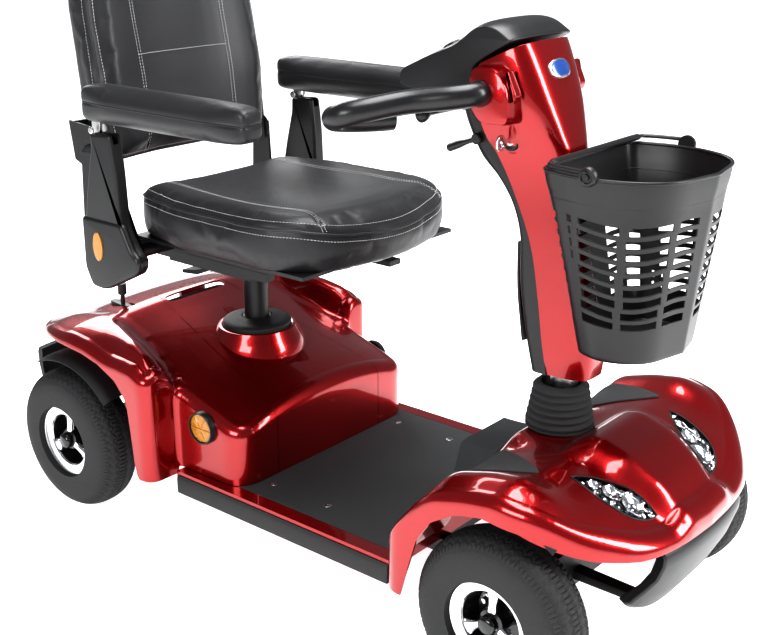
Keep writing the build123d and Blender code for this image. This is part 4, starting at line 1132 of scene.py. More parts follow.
gaiter_low, gaiter_high = (corner * 1000 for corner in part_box("bellows"))
gaiter_profile = [(36, gaiter_low.z - 1), (52, gaiter_low.z - 1), (52, gaiter_low.z + 1.5)]
gaiter_folds = 6
gaiter_top = gaiter_high.z + 10
fold_height = (gaiter_top - gaiter_low.z - 4) / gaiter_folds
for fold in range(gaiter_folds):
    outer = 52 - 1.9 * fold
    for share, reach in ((0.1, -3.6), (0.22, -1.2), (0.38, 0), (0.6, 0), (0.78, -1.4), (0.92, -4.4)):
        gaiter_profile.append((outer + reach, gaiter_low.z + 2 + fold_height * (fold + share)))
gaiter_profile += [(36, gaiter_top), (30, gaiter_top), (30, gaiter_low.z - 1)]
gaiter = turned_up("steering_gaiter", gaiter_profile, mm(column_x, 0, 0), mat_rubber, 96, 60)
declare(gaiter, "steering", "mat_rubber", "bellows")

# ---------------------------------------------------------------- seat cushion
# Moulded foam under black leather cloth. A finely perforated panel runs up the middle, set in with
# twin rows of white thread, and piping and more thread follow the upper edge.


def leather(name, dark, light, pores=False):
    """Black leather cloth: pebbled grain, soft colour patches, and a fine weave of pores if asked."""
    made, parts, links, shader = shader_tree(name)
    place = parts.new("ShaderNodeTexCoord")
    pebble = parts.new("ShaderNodeTexVoronoi")
    pebble.inputs["Scale"].default_value = 620
    patches = parts.new("ShaderNodeTexNoise")
    patches.inputs["Scale"].default_value = 9
    patches.inputs["Detail"].default_value = 6
    tone = parts.new("ShaderNodeMix")
    tone.data_type = "RGBA"
    tone.inputs["A"].default_value = (*dark, 1)
    tone.inputs["B"].default_value = (*light, 1)
    bump = parts.new("ShaderNodeBump")
    bump.inputs["Strength"].default_value = 0.32
    bump.inputs["Distance"].default_value = 0.0006
    spread = parts.new("ShaderNodeMapRange")
    spread.inputs["To Min"].default_value = 0.33
    spread.inputs["To Max"].default_value = 0.47
    for texture in (pebble, patches):
        links.new(place.outputs["Object"], texture.inputs["Vector"])
    height = pebble.outputs["Distance"]
    if pores:
        turned_place = parts.new("ShaderNodeMapping")
        turned_place.inputs["Rotation"].default_value = (0.6, 0.6, 0.785)
        weave = parts.new("ShaderNodeTexChecker")
        weave.inputs["Scale"].default_value = 420
        links.new(place.outputs["Object"], turned_place.inputs["Vector"])
        links.new(turned_place.outputs["Vector"], weave.inputs["Vector"])
        height = weave.outputs["Fac"]
        bump.inputs["Strength"].default_value = 0.6
    links.new(patches.outputs["Fac"], tone.inputs["Factor"])
    links.new(tone.outputs["Result"], shader.inputs["Base Color"])
    links.new(patches.outputs["Fac"], spread.inputs["Value"])
    links.new(spread.outputs["Result"], shader.inputs["Roughness"])
    links.new(height, bump.inputs["Height"])
    links.new(bump.outputs["Normal"], shader.inputs["Normal"])
    shader.inputs["Sheen Weight"].default_value = 0.08
    return made


black_leather = leather("black_leather_cloth", (0.013, 0.013, 0.014), (0.026, 0.026, 0.028))
pierced_leather = leather("perforated_leather_cloth", (0.012, 0.012, 0.013), (0.03, 0.03, 0.032), True)
white_thread = finish_of("white_thread", (0.66, 0.66, 0.65), (0.5, 0.5, 0.49), 0.7, 2400, 0.1)


def puff(piece, voxel, cap, pressure=4.0):
    """Inflates a closed pad as cloth over foam, by no more than cap millimetres at any point."""
    grid = piece.modifiers.new("even_mesh", "REMESH")
    grid.mode = "VOXEL"
    grid.voxel_size = voxel / 1000
    settle(piece)
    start = [vertex.co.copy() for vertex in piece.data.vertices]
    cloth = piece.modifiers.new("cloth", "CLOTH")
    cloth.settings.use_pressure = True
    cloth.settings.uniform_pressure_force = pressure
    cloth.settings.effector_weights.gravity = 0
    cloth.settings.quality = 3
    for moment in range(1, 21):
        scene.frame_set(moment)
    settle(piece)
    scene.frame_set(1)
    for vertex, origin in zip(piece.data.vertices, start):
        moved = vertex.co - origin
        if moved.length > cap / 1000:
            vertex.co = origin + moved.normalized() * cap / 1000
    softer = piece.modifiers.new("even_out", "SMOOTH")
    softer.factor = 0.5
    softer.iterations = 4
    finer = piece.modifiers.new("finer", "SUBSURF")
    finer.levels = 1
    settle(piece)
    piece.data.shade_smooth()
    return piece


def surface_of(piece):
    """A search tree over a piece's surface."""
    return BVHTree.FromPolygons([v.co for v in piece.data.vertices], [p.vertices for p in piece.data.polygons])


def along(path, spacing):
    """Points and directions at even steps along a path of points."""
    spots = []
    carry = 0.0
    for a, b in zip(path, path[1:]):
        length = (b - a).length
        if length < 1e-7:
            continue
        way = (b - a) / length
        at = carry
        while at < length:
            spots.append((a + way * at, way))
            at += spacing
        carry = at - length
    return spots


def stitch(name, paths, tree, body, length=3.6, pitch=5.4, thick=0.55):
    """Rows of thread stitches laid on a surface along paths."""
    points, faces = [], []
    for path in paths:
        for spot, way in along(path, pitch / 1000):
            place, normal, _, _ = tree.find_nearest(spot)
            across = way.cross(normal).normalized()
            first = len(points)
            for reach, share, lift in ((-0.5, 0.35, -0.1), (-0.3, 1, 0.4), (0.3, 1, 0.4), (0.5, 0.35, -0.1)):
                for k in range(6):
                    a = 2 * pi * k / 6
                    points.append(place + way * reach * length / 1000
                                  + across * cos(a) * thick * share / 1000
                                  + normal * (sin(a) * thick * share * 0.8 + lift) / 1000)
            for ring in range(3):
                for k in range(6):
                    a, b = first + ring * 6 + k, first + ring * 6 + (k + 1) % 6
                    faces.append((a, b, b + 6, a + 6))
            faces.append(tuple(first + k for k in reversed(range(6))))
            faces.append(tuple(first + 18 + k for k in range(6)))
    mesh = bpy.data.meshes.new(name)
    mesh.from_pydata([tuple(p) for p in points], [], faces)
    mesh.materials.append(white_thread)
    return declare(link(name, mesh), body, "seat_cover")


def settle_on(path, tree, lift=0.0):
    """The same path moved onto a surface."""
    placed = []
    for point in path:
        place, normal, _, _ = tree.find_nearest(point)
        placed.append(place + normal * lift / 1000)
    return placed


def groove(piece, lines, width, depth, chosen):
    """Presses sewn channels into a pad. chosen says which vertices a channel may touch."""
    tree_points = [Vector((p.x, p.y, p.z)) for line in lines for p, _ in along(line, 0.003)]
    tree = KDTree(len(tree_points))
    for k, point in enumerate(tree_points):
        tree.insert(point, k)
    tree.balance()
    normals = [v.normal.copy() for v in piece.data.vertices]
    for vertex, normal in zip(piece.data.vertices, normals):
        if not chosen(vertex.co * 1000, normal):
            continue
        _, _, away = tree.find(vertex.co)
        share = away * 1000 / width
        if share < 2.2:
            vertex.co -= normal * depth / 1000 * exp(-share * share * 2)
    piece.data.update()


cushion_low, cushion_high = (corner * 1000 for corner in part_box("seat_cushion"))
cushion_half = cushion_high.y
cushion_plan = closed_path([
    (cushion_low.x + 4, -176, 46), (cushion_low.x + 4, 176, 46), (-250, cushion_half - 5, 60),
    (-40, cushion_half - 3, 90), (38, 160, 120), (cushion_high.x - 6, 0, 180), (38, -160, 120),
    (-40, 3 - cushion_half, 90), (-250, 5 - cushion_half, 60),
], 9)


def cushion_top(x, y):
    """The cushion's upper face: a hollow to sit in, raised sides and a front that rolls down."""
    hollow = 21 * exp(-((x + 175) / 150) ** 2) * exp(-((y / 128) ** 4))
    thigh = 9 * exp(-((x + 20) / 60) ** 2) * exp(-((y / 120) ** 4))
    front = 26 * ramp_up(-30, 95, x) ** 2
    return cushion_high.z - 6 - hollow + thigh * 0.6 - front


def inset_plan(plan, inset):
    """A closed plan outline moved inward."""
    moved = []
    for k in range(len(plan)):
        run = Vector(plan[(k + 1) % len(plan)]) - Vector(plan[k - 1])
        inward = Vector((-run.y, run.x)).normalized()
        centre = Vector((-150, 0))
        if inward.dot(centre - Vector(plan[k])) < 0:
            inward = -inward
        moved.append(Vector(plan[k]) + inward * inset)
    return moved


cushion_rings = []
for inset, level in ((120, 0), (60, -1), (30, -4), (14, -8), (6, -5), (2, 6), (0, 20), (0, 34)):
    cushion_rings.append([mm(p.x, p.y, cushion_low.z + 2 + level) for p in inset_plan(cushion_plan, inset)])
for inset, drop in ((1.5, 19), (2, 14), (5, 8), (11, 3), (20, 0.5)):
    cushion_rings.append([mm(p.x, p.y, cushion_top(p.x, p.y) - drop) for p in inset_plan(cushion_plan, inset)])
for share in (0.86, 0.7, 0.54, 0.38, 0.22, 0.06):
    ring = []
    for p in inset_plan(cushion_plan, 20):
        x, y = -150 + (p.x + 150) * share, p.y * share
        ring.append(mm(x, y, cushion_top(x, y)))
    cushion_rings.append(ring)
points, faces = skin(cushion_rings)
cushion = add_mesh("seat_cushion_pad", points, faces, black_leather, 180)
cushion.data.materials.append(pierced_leather)
puff(cushion, 5, 6)


def panel_edge(x):
    """How far the perforated panel reaches sideways at a distance forward."""
    return 128 + 14 * ramp_up(-330, -120, x) - 10 * exp(-((x + 40) / 50) ** 2) + 12 * ramp_up(0, 60, x)


panel_lines = []
for side in (1, -1):
    panel_lines.append([mm(x, side * panel_edge(x), cushion_top(x, panel_edge(x)))
                        for x in range(-368, 50, 6)])
groove(cushion, panel_lines, 4.5, 3.2, lambda place, normal: normal.z > 0.2)
for polygon in cushion.data.polygons:
    x, y, _ = polygon.center * 1000
    inside = abs(y) < panel_edge(x) - 1 and -372 < x < 57 and polygon.normal.z > 0.5
    polygon.material_index = 1 if inside else 0
cushion_tree = surface_of(cushion)
rows = []
for side in (1, -1):
    for shift in (-3.4, 3.4):
        rows.append([mm(x, side * (panel_edge(x) + shift), cushion_top(x, panel_edge(x))) for x in range(-368, 48, 6)])
upper = inset_plan(cushion_plan, 13)
lower = inset_plan(cushion_plan, 2)
upper_row = [mm(p.x, p.y, cushion_top(p.x, p.y) - 3) for p in upper]
upper_row.append(mm(upper[0].x, upper[0].y, cushion_top(*upper[0])))
lower_row = [mm(p.x, p.y, cushion_top(p.x, p.y) - 24) for p in [*lower, lower[0]]]
declare(cushion, "seat", "seat_cover", "seat_cushion")
stitch("seat_cushion_thread", [*rows, upper_row, lower_row], cushion_tree, "seat")
pipe_line = settle_on([mm(p.x, p.y, cushion_top(p.x, p.y) - 12) for p in inset_plan(cushion_plan, 1)], cushion_tree)
declare(bead("seat_cushion_piping", pipe_line, 2.3, black_leather), "seat", "seat_cover")
pan_plan = [(p.x, p.y) for p in inset_plan(cushion_plan, 58)]
declare(rounded_slab("seat_base_tray", pan_plan, cushion_low.z - 11, cushion_low.z + 3, 3, grained_black,
                     lambda a, b, level: mm(a, b, level)), "seat", "black_plastic")

# ---------------------------------------------------------------- backrest
# A tall curved back in the same leather: two side bolsters, a perforated middle panel split by one
# cross seam, piping round the front edge and a plain back face. Round covers hide its hinges.

back_low, back_high = (corner * 1000 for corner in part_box("seat_back"))
back_front_line = [(620, -415), (675, -412), (769, -420), (879, -441), (960, -451), (1035, -468)]
back_rear_line = [(620, -487), (660, -490), (760, -504), (900, -518), (1000, -520), (1035, -506)]
back_half = back_high.y
back_plan = closed_path([
    (-back_half + 14, back_low.z + 3, 34), (back_half - 14, back_low.z + 3, 34), (back_half - 2, 740, 90),
    (back_half - 2, 900, 90), (back_half - 24, back_high.z - 3, 62), (0, back_high.z - 1, 120),
    (24 - back_half, back_high.z - 3, 62), (2 - back_half, 900, 90), (2 - back_half, 740, 90),
], 9)
back_depth = 70


def back_face(y, z):
    """How far the backrest's front face is set in at a place: a hollow between two bolsters."""
    return 15 * exp(-((y / 118) ** 4)) * (0.5 + 0.5 * ramp_up(1030, 940, z)) if z < 1030 else 0


def back_point(y, z, level):
    """A point of the backrest, level going from its back face to its front face."""
    rear, front = eased(back_rear_line, z, 20), eased(back_front_line, z, 20)
    share = level / back_depth
    edge = min(1.0, max(0.0, (back_half - abs(y)) / 40))
    x = rear + (front - rear) * share - (back_face(y, z) if share > 0.5 else 0) * max(0, share * 2 - 1)
    return mm(x, y, z) if edge else mm(x, y, z)


back_rings = []
back_centre = Vector((0, 830))


def back_ring(inset, level, share=1.0):
    """One ring of the backrest, moved inward and shrunk towards the middle."""
    ring = []
    for k in range(len(back_plan)):
        run = Vector(back_plan[(k + 1) % len(back_plan)]) - Vector(back_plan[k - 1])
        inward = Vector((-run.y, run.x)).normalized()
        if inward.dot(back_centre - Vector(back_plan[k])) < 0:
            inward = -inward
        place = back_centre + (Vector(back_plan[k]) + inward * inset - back_centre) * share
        ring.append(back_point(place.x, place.y, level))
    return ring


for share in (0.08, 0.3, 0.52, 0.74, 0.9):
    back_rings.append(back_ring(20, 1, share))
for inset, level in ((20, 1.5), (9, 4), (3, 11), (0.5, 22), (0, 40), (2, 54), (6, 62), (13, 67), (22, 70)):
    back_rings.append(back_ring(inset, level))
for share in (0.9, 0.78, 0.64, 0.5, 0.36, 0.22, 0.08):
    back_rings.append(back_ring(22, 70, share))
points, faces = skin(back_rings)
backrest = add_mesh("seat_back_pad", points, faces, black_leather, 180)
backrest.data.materials.append(pierced_leather)
puff(backrest, 5, 5)
back_seam_y = 103
back_seam_z = 808
seam_columns = [[back_point(side * back_seam_y, z, 70) for z in range(int(back_low.z) + 8, int(back_high.z) - 12, 6)]
                for side in (1, -1)]
cross_seam = [back_point(y, back_seam_z, 70) for y in range(-back_seam_y, back_seam_y + 1, 6)]
groove(backrest, [*seam_columns, cross_seam], 4.5, 3.4, lambda place, normal: normal.x > 0.4)
for polygon in backrest.data.polygons:
    _, y, z = polygon.center * 1000
    polygon.material_index = 1 if abs(y) < back_seam_y - 1 and polygon.normal.x > 0.5 else 0
back_tree = surface_of(backrest)
thread_rows = [cross_seam]
for side in (1, -1):
    for shift in (-3.4, 3.4):
        thread_rows.append([back_point(side * (back_seam_y + shift), z, 70)
                            for z in range(int(back_low.z) + 8, int(back_high.z) - 12, 6)])
for inset, level in ((12, 66), (1, 48)):
    ring = back_ring(inset, level)
    thread_rows.append([*ring, ring[0]])
declare(backrest, "backrest", "seat_cover", "seat_back")
stitch("seat_back_thread", thread_rows, back_tree, "backrest")
piping = settle_on(back_ring(4, 58), back_tree)
declare(bead("seat_back_piping", piping, 2.4, black_leather), "backrest", "seat_cover")
paint(grained_black, "back_frame", "swivel_lever", "slide_lever")
hinge = {joint["name"]: joint for joint in frame["joints"]}
back_hinge = Vector(hinge["back_fold"]["pos_m"]) * 1000
for side_name, side in (("left", 1), ("right", -1)):
    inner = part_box("back_frame")[1].y * 1000
    cover_profile = [(0.1, 9), (8, 9), (16, 8), (22, 5.5), (25, 2.5), (25.5, 0), (25.5, -1), (0.1, -1)]
    cover = turned(f"back_hinge_cover_{side_name}", [(r, w * 0.7 + inner) for r, w in cover_profile],
                   mm(back_hinge.x, 0, back_hinge.z), side, grained_black, 48)
    declare(cover, "backrest", "black_plastic")

# ---------------------------------------------------------------- armrests
# Foam pads with a sewn seam at half height, on hollow plastic posts that curve in under the seat.
# Each pad tips up on a steel pivot, and the right post carries an amber reflector outside.

for side_name, side in (("left", 1), ("right", -1)):
    pad_low, pad_high = (corner * 1000 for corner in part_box(f"arm_pad_{side_name}"))
    pad_bottom = 717
    inner, outer = sorted((abs(pad_low.y), abs(pad_high.y)))
    half, middle_y = (outer - inner) / 2, (outer + inner) / 2
    rings = []
    for share, narrow in ((0.0, 9), (0.006, 5), (0.02, 2), (0.05, 0), (0.3, 0), (0.6, 0), (0.9, 0), (0.955, 1),
                          (0.982, 5), (0.996, 10), (1.0, 15)):
        x = pad_low.x + (pad_high.x - pad_low.x) * share
        ring = []
        for k in range(56):
            a = 2 * pi * k / 56
            bulge = 1 - 0.02 * exp(-((sin(a) / 0.16) ** 2))
            wide = (half - 0.6 - narrow * 0.5) * (abs(cos(a)) ** 0.36) * (1 if cos(a) >= 0 else -1) * bulge
            tall = (30 - narrow * 0.7) * (abs(sin(a)) ** 0.4) * (1 if sin(a) >= 0 else -1)
            rise = 4 * ramp_up(0.75, 1.0, share) if sin(a) < 0 else 1.2 * (1 - (2 * share - 1) ** 2)
            ring.append(mm(x, side * (middle_y + wide), 747 + tall + rise - 0.6))
        rings.append(ring)
    points, faces = skin(rings)
    pad = add_mesh(f"armrest_pad_{side_name}", points, faces, black_leather, 180)
    puff(pad, 4, 5, 3.0)
    pad_path = closed_path([(pad_low.x, inner, 10), (pad_high.x, inner, 14), (pad_high.x, outer, 14),
                            (pad_low.x, outer, 10)], 7)
    seam = [mm(x, side * y, 749) for x, y in pad_path]
    groove(pad, [[*seam, seam[0]]], 3.5, 2.2, lambda place, normal: abs(normal.z) < 0.75)
    pad_tree = surface_of(pad)
    declare(pad, f"armrest_{side_name}", "seat_cover", f"arm_pad_{side_name}")
    declare(bead(f"armrest_seam_{side_name}", settle_on(seam, pad_tree, -0.3), 1.1, black_leather),
            f"armrest_{side_name}", "seat_cover")
    pivot = Vector(hinge[f"arm_flip_{side_name}"]["pos_m"]) * 1000
    tongue = rounded_slab(f"armrest_tongue_{side_name}",
                          closed_path([(pivot.x - 9, pivot.z - 8, 7), (pivot.x + 9, pivot.z - 8, 7),
                                       (pivot.x + 12, pad_bottom + 4, 2), (pivot.x - 9, pad_bottom + 4, 2)]),
                          *sorted((side * 235, side * 242)), 1, zinc_plate, side_plane)
    declare(tongue, f"armrest_{side_name}", "steel")

    post_low, post_high = (corner * 1000 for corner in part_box(f"arm_post_{side_name}"))
    outer_face = max(abs(post_low.y), abs(post_high.y))
    post_body = closed_path([(-392, 699, 8), (-340, 702, 8), (-333, 650, 30), (-329, 552, 20), (-306, 516, 20),
                             (-286, 500, 14), (-292, 476, 14), (-378, 434, 30), (-412, 436, 22), (-427, 466, 24),
                             (-425, 530, 20), (-412, 600, 30), (-393, 672, 10)], 6)
    post = rounded_slab(f"armrest_post_{side_name}", post_body,
                        *sorted((side * 225.5, side * (outer_face - 0.3))), 6, satin_black, side_plane, 40)
    slot_cut = [(-432, side * 233), (-322, side * 233), (-322, side * 244.2), (-432, side * 244.2)]
    cutter_points = [mm(x, y, 686) for x, y in slot_cut] + [mm(x, y, 730) for x, y in slot_cut]
    cutter = add_mesh("cutter", cutter_points, [(0, 1, 2, 3), (7, 6, 5, 4), (0, 4, 5, 1), (1, 5, 6, 2), (2, 6, 7, 3),
                                                (3, 7, 4, 0)], satin_black)
    knife = post.modifiers.new("slot", "BOOLEAN")
    knife.solver = "EXACT"
    knife.object = cutter
    settle(post)
    bpy.data.objects.remove(cutter)
    post.data.set_sharp_from_angle(angle=radians(40))
    declare(post, f"arm_{side_name}", "black_plastic", f"arm_post_{side_name}")
    boot_plan = closed_path([(-429, 466, 24), (-428, 556, 10), (-324, 556, 10), (-303, 514, 20), (-284, 500, 14),
                             (-290, 475, 14), (-378, 432, 30), (-413, 434, 22)], 6)
    boot = rounded_slab(f"armrest_boot_{side_name}", boot_plan, *sorted((side * 238, side * (outer_face + 3))), 7,
                        satin_black, side_plane, 40)
    declare(boot, f"arm_{side_name}", "black_plastic")
    reflector_plan = [(-387 + 12.5 * cos(2 * pi * k / 40), 508 + 25 * sin(2 * pi * k / 40)) for k in range(40)]
    reflector = rounded_slab(f"armrest_reflector_{side_name}", reflector_plan,
                             *sorted((side * (outer_face + 1), side * (outer_face + 5))), 1.6, amber, side_plane, 40)
    declare(reflector, f"arm_{side_name}", "amber_lens")
    tube_spot = Vector((-365, 492))
    tube_start, tube_end = mm(tube_spot.x, side * 70, tube_spot.y), mm(tube_spot.x, side * 227, tube_spot.y)
    tube = bead(f"armrest_tube_{side_name}", [tube_start, tube_start.lerp(tube_end, 0.5), tube_end], 11, powder_black,
                False, 8)
    declare(tube, f"arm_{side_name}", "frame_paint")
    for reach, name in ((outer_face - 0.8, "outer"), (224.6, "inner")):
        screw_head(f"armrest_pivot_bolt_{name}_{side_name}", mm(pivot.x, side * reach, pivot.z),
                   (0, side if name == "outer" else -side, 0), 6.5, 2.4, zinc_plate, "steel", f"arm_{side_name}")

# ---------------------------------------------------------------- tiller
# The steering post wears a red front shell that widens into the head, and a black rear cover that
# meets it on a seam down both sides. Bosses stand out for the key switch and the charging socket.

# Each station gives the front edge, the seam and the half width, from the foot up to the head.
stations = [
    ((429, 402), (364, 400), 33), ((432, 430), (361, 428), 36), ((432, 456), (356, 454), 36),
    ((421, 520), (347, 514), 36), ((405, 600), (331, 594), 36.5), ((392, 676), (300, 668), 38),
    ((384, 726), (276, 718), 45), ((374, 760), (264, 744), 57), ((362, 796), (257, 776), 68),
    ((348, 832), (253, 806), 73), ((334, 864), (256, 838), 74), ((326, 880), (262, 850), 73),
]


def spread(table, count):
    """More stations between the given ones, on a smooth line."""
    rows = []
    flat = [(*front, *seam, wide) for front, seam, wide in table]
    for k in range(len(flat) - 1):
        p0, p1, p2, p3 = flat[max(0, k - 1)], flat[k], flat[k + 1], flat[min(len(flat) - 1, k + 2)]
        for step in range(count):
            t = step / count
            rows.append([0.5 * (2 * b + (c - a) * t + (2 * a - 5 * b + 4 * c - d) * t * t
                                + (3 * b - a - 3 * c + d) * t ** 3)
                         for a, b, c, d in zip(p0, p1, p2, p3)])
    return rows + [list(flat[-1])]


def half_tube(station, power, count=40):
    """A U-shaped section that opens backwards, from one side's seam round the front to the other's."""
    fx, fz, sx, sz, wide = station
    ring = []
    for k in range(count + 1):
        a = pi * k / count - pi / 2
        ahead = max(0.0, cos(a)) ** power
        aside = abs(sin(a)) ** (power * 0.9) * (1 if sin(a) >= 0 else -1)
        ring.append(mm(sx + (fx - sx) * ahead, wide * aside, sz + (fz - sz) * ahead))
    return ring


shroud_rings = [half_tube(station, 0.5) for station in spread(stations, 6)]
points, faces = skin(shroud_rings, closed=False, capped=False)
top_ring = len(points) - 41
faces.append(tuple(top_ring + k for k in range(41)))
shroud = add_mesh("tiller_front_shell", points, faces, red, 62)
crown_edge = shroud.modifiers.new("soft_edges", "BEVEL")
crown_edge.width = 0.004
crown_edge.segments = 3
crown_edge.limit_method = "ANGLE"
crown_edge.angle_limit = radians(50)
settle(shroud)
settle(thicken(shroud, 2.4))
shroud.data.shade_smooth()
shroud.data.set_sharp_from_angle(angle=radians(48))
declare(shroud, "tiller", "red_panel", "tiller_shroud")

rear_edge = [(337, 400), (322, 460), (309, 540), (308, 600), (294, 648), (268, 684), (236, 712), (212, 752),
             (198, 786)]
seam_edge = [(366, 400), (357, 456), (348, 514), (333, 592), (318, 636), (296, 678), (276, 716), (262, 752),
             (252, 792)]
cover_stations = [(rear, seam, 33 if k < 5 else 33 + 0.4 * (k - 4)) for k, (rear, seam) in enumerate(zip(rear_edge,
                                                                                                        seam_edge))]
cover_rings = [half_tube(station, 0.42) for station in spread(cover_stations, 6)]
points, faces = skin(cover_rings, closed=False, capped=False)
rear_cover = add_mesh("tiller_rear_shell", points, faces, satin_black, 60)
settle(thicken(rear_cover, 2.2, 1))
rear_cover.data.shade_smooth()
rear_cover.data.set_sharp_from_angle(angle=radians(48))
declare(rear_cover, "tiller", "black_plastic", "tiller_rear_cover")
relief = rounded_slab("tiller_rear_panel", closed_path([(319, 440, 12), (307, 520, 30), (304, 590, 20), (299, 590, 6),
                                                        (300, 520, 30), (312, 438, 6)]), -22, 22, 2, grained_black,
                      side_plane)
declare(relief, "tiller", "black_plastic")

for side_name, side in (("left", 1), ("right", -1)):
    block_rings = []
    outline = closed_path([(325, 772, 10), (324, 818, 12), (304, 848, 14), (262, 846, 12), (254, 800, 12),
                           (276, 770, 12)], 5)
    for reach, size in ((60, 1.06), (80, 1.04), (92, 1.01), (96, 0.97), (98, 0.88)):
        block_rings.append([mm(290 + (x - 290) * size, side * reach, 808 + (z - 808) * size) for x, z in outline])
    points, faces = skin(block_rings)
    cheek = add_mesh(f"tiller_cheek_{side_name}", points, faces, red, 34)
    rim = cheek.modifiers.new("soft_edges", "BEVEL")
    rim.width = 0.002
    rim.segments = 2
    rim.angle_limit = radians(40)
    declare(settle(cheek), "tiller", "red_panel")
    ridge_plan = closed_path([(318, 846, 4), (334, 812, 4), (330, 800, 4), (316, 826, 4)], 3)
    ridge = rounded_slab(f"tiller_cheek_ridge_{side_name}", ridge_plan, *sorted((side * 74, side * 92)), 3, red,
                         side_plane, 30)
    declare(ridge, "tiller", "red_panel")

switch_centre = Vector(hinge["key_turn"]["pos_m"]) * 1000
switch_spot = mm(switch_centre.x, 0, switch_centre.z)
boss_profile = [(0.1, 20), (23, 20), (22, 38), (20.5, 44), (18.5, 46.5), (15, 46.5), (0.1, 46.3)]
declare(turned("key_switch_boss", boss_profile, switch_spot, -1, red, 64), "tiller", "red_panel")
socket_profile = [(0.1, 20), (20, 20), (19, 44), (17, 49), (15, 50), (14, 47), (0.1, 47)]
declare(turned("charging_socket_boss", socket_profile, mm(318, 0, 746), 1, satin_black, 64), "tiller", "black_plastic")
bezel_profile = [(0.1, 46.4), (15, 46.4), (15, 49.5), (14, 51.8), (11.5, 52), (10.8, 50.2), (0.1, 50.2)]
declare(turned("key_switch_bezel", bezel_profile, switch_spot, -1, satin_black, 64), "tiller", "black_plastic",
        "key_switch")
barrel_profile = [(0.1, 50), (7.5, 50), (7.5, 51.3), (6.8, 51.9), (1.2, 51.9), (1.1, 51.2), (0.1, 51.2)]
declare(turned("key_barrel", barrel_profile, switch_spot, -1, bright_ring, 48), "tiller", "bright_steel")
bow_outline = [(11.5 * cos(a) * (1 + 0.1 * cos(3 * a)), 11.5 * sin(a)) for a in
               [2 * pi * k / 40 for k in range(40)]]
bow_points = [(switch_centre.z + b, -73 + a) for a, b in bow_outline]
bow = rounded_slab("key_bow", bow_points, switch_centre.x - 1.8, switch_centre.x + 1.8, 0.8, bright_ring,
                   lambda a, b, level: mm(level, b, a))
cut_points = [(switch_centre.z + 4.5 * sin(2 * pi * k / 20), -77 + 3.4 * cos(2 * pi * k / 20)) for k in range(20)]
count = len(cut_points)
cutter = add_mesh("cutter", [mm(x, y, z) for x in (switch_centre.x - 5, switch_centre.x + 5) for z, y in cut_points],
                  [(k, (k + 1) % count, count + (k + 1) % count, count + k) for k in range(count)]
                  + [tuple(reversed(range(count))), tuple(range(count, 2 * count))], satin_black)
knife = bow.modifiers.new("hole", "BOOLEAN")
knife.solver = "EXACT"
knife.object = cutter
settle(bow)
bpy.data.objects.remove(cutter)
declare(bow, "ignition_key", "bright_steel", "key")
blade_outline = closed_path([(switch_centre.z - 3.6, -52.6, 1), (switch_centre.z + 3.6, -52.6, 1),
                             (switch_centre.z + 3.6, -64, 1), (switch_centre.z - 3.6, -64, 1)], 1.5)
blade_piece = rounded_slab("key_blade", blade_outline, switch_centre.x - 1, switch_centre.x + 1, 0.4, bright_ring,
                           lambda a, b, level: mm(level, b, a))
declare(blade_piece, "ignition_key", "bright_steel")

# ---------------------------------------------------------------- console
# A smooth black hood over the head. Its sloping top holds the speed dial, the horn and lamp buttons, and a row of
# battery lamps.

console_low, console_high = (corner * 1000 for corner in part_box("console"))
console_half = console_high.y
hood_outline = closed_path([
    (console_low.x + 1, 806, 8), (console_low.x, 828, 10), (222, 881, 30), (262, 908, 22), (294, 906, 16),
    (322, 886, 5), (299, 873, 20), (256, 847, 16), (250, 791, 6), (196, 791, 20),
], 5)
console_sections = []
middle_point = Vector((225, 842))
for reach in [-1 + 2 * k / 44 for k in range(45)]:
    narrow = 1 - abs(reach) ** 7
    ring = []
    for x, z in hood_outline:
        high = ramp_up(840, 908, z)
        pull = 5.5 * (1 - max(0.0, narrow)) + 5 * high * abs(reach) ** 2.6
        towards = middle_point - Vector((x, z))
        step = towards.normalized() * min(pull, towards.length * 0.5)
        width = console_half * reach * (1 - 0.1 * ramp_up(800, 900, z) * ramp_up(200, 120, x) if x < 200 else 1)
        ring.append(mm(x + step.x, width, z + step.y))
    console_sections.append(ring)
points, faces = skin(console_sections)
console = add_mesh("console_hood", points, faces, satin_black, 70)
soft = console.modifiers.new("soft_edges", "BEVEL")
soft.width = 0.006
soft.segments = 4
soft.limit_method = "ANGLE"
soft.angle_limit = radians(55)
settle(console)
console.data.shade_smooth()
console.data.set_sharp_from_angle(angle=radians(60))
declare(console, "tiller", "black_plastic", "console")
dial_joint = next(joint for joint in frame["joints"] if joint["name"] == "dial_turn")
panel_up = Vector(dial_joint["axis"]).normalized()
if panel_up.z < 0:
    panel_up = -panel_up
panel_turn = Vector((0, 0, 1)).rotation_difference(panel_up).to_matrix()
panel_origin = Vector(dial_joint["pos_m"])
panel_origin -= panel_up * (panel_origin - mm(165, 0, 850.9)).dot(panel_up)


def on_panel(name, profile, across, ahead, finish, body, slot, *replaced, flutes=0):
    """A knob or button turned square to the console's top: (radius, height above it)."""
    rings = []
    for k in range(73):
        a = 2 * pi * (k % 72) / 72
        ring = []
        for r, level in profile:
            r += 0.5 * cos(flutes * a) if flutes and r > 12 else 0
            ring.append(panel_origin + panel_turn @ mm(ahead + r * cos(a), across + r * sin(a), level))
        rings.append(ring)
    points, faces = skin(rings, capped=False)
    return declare(add_mesh(name, points, faces, finish, 40), body, slot, *replaced)


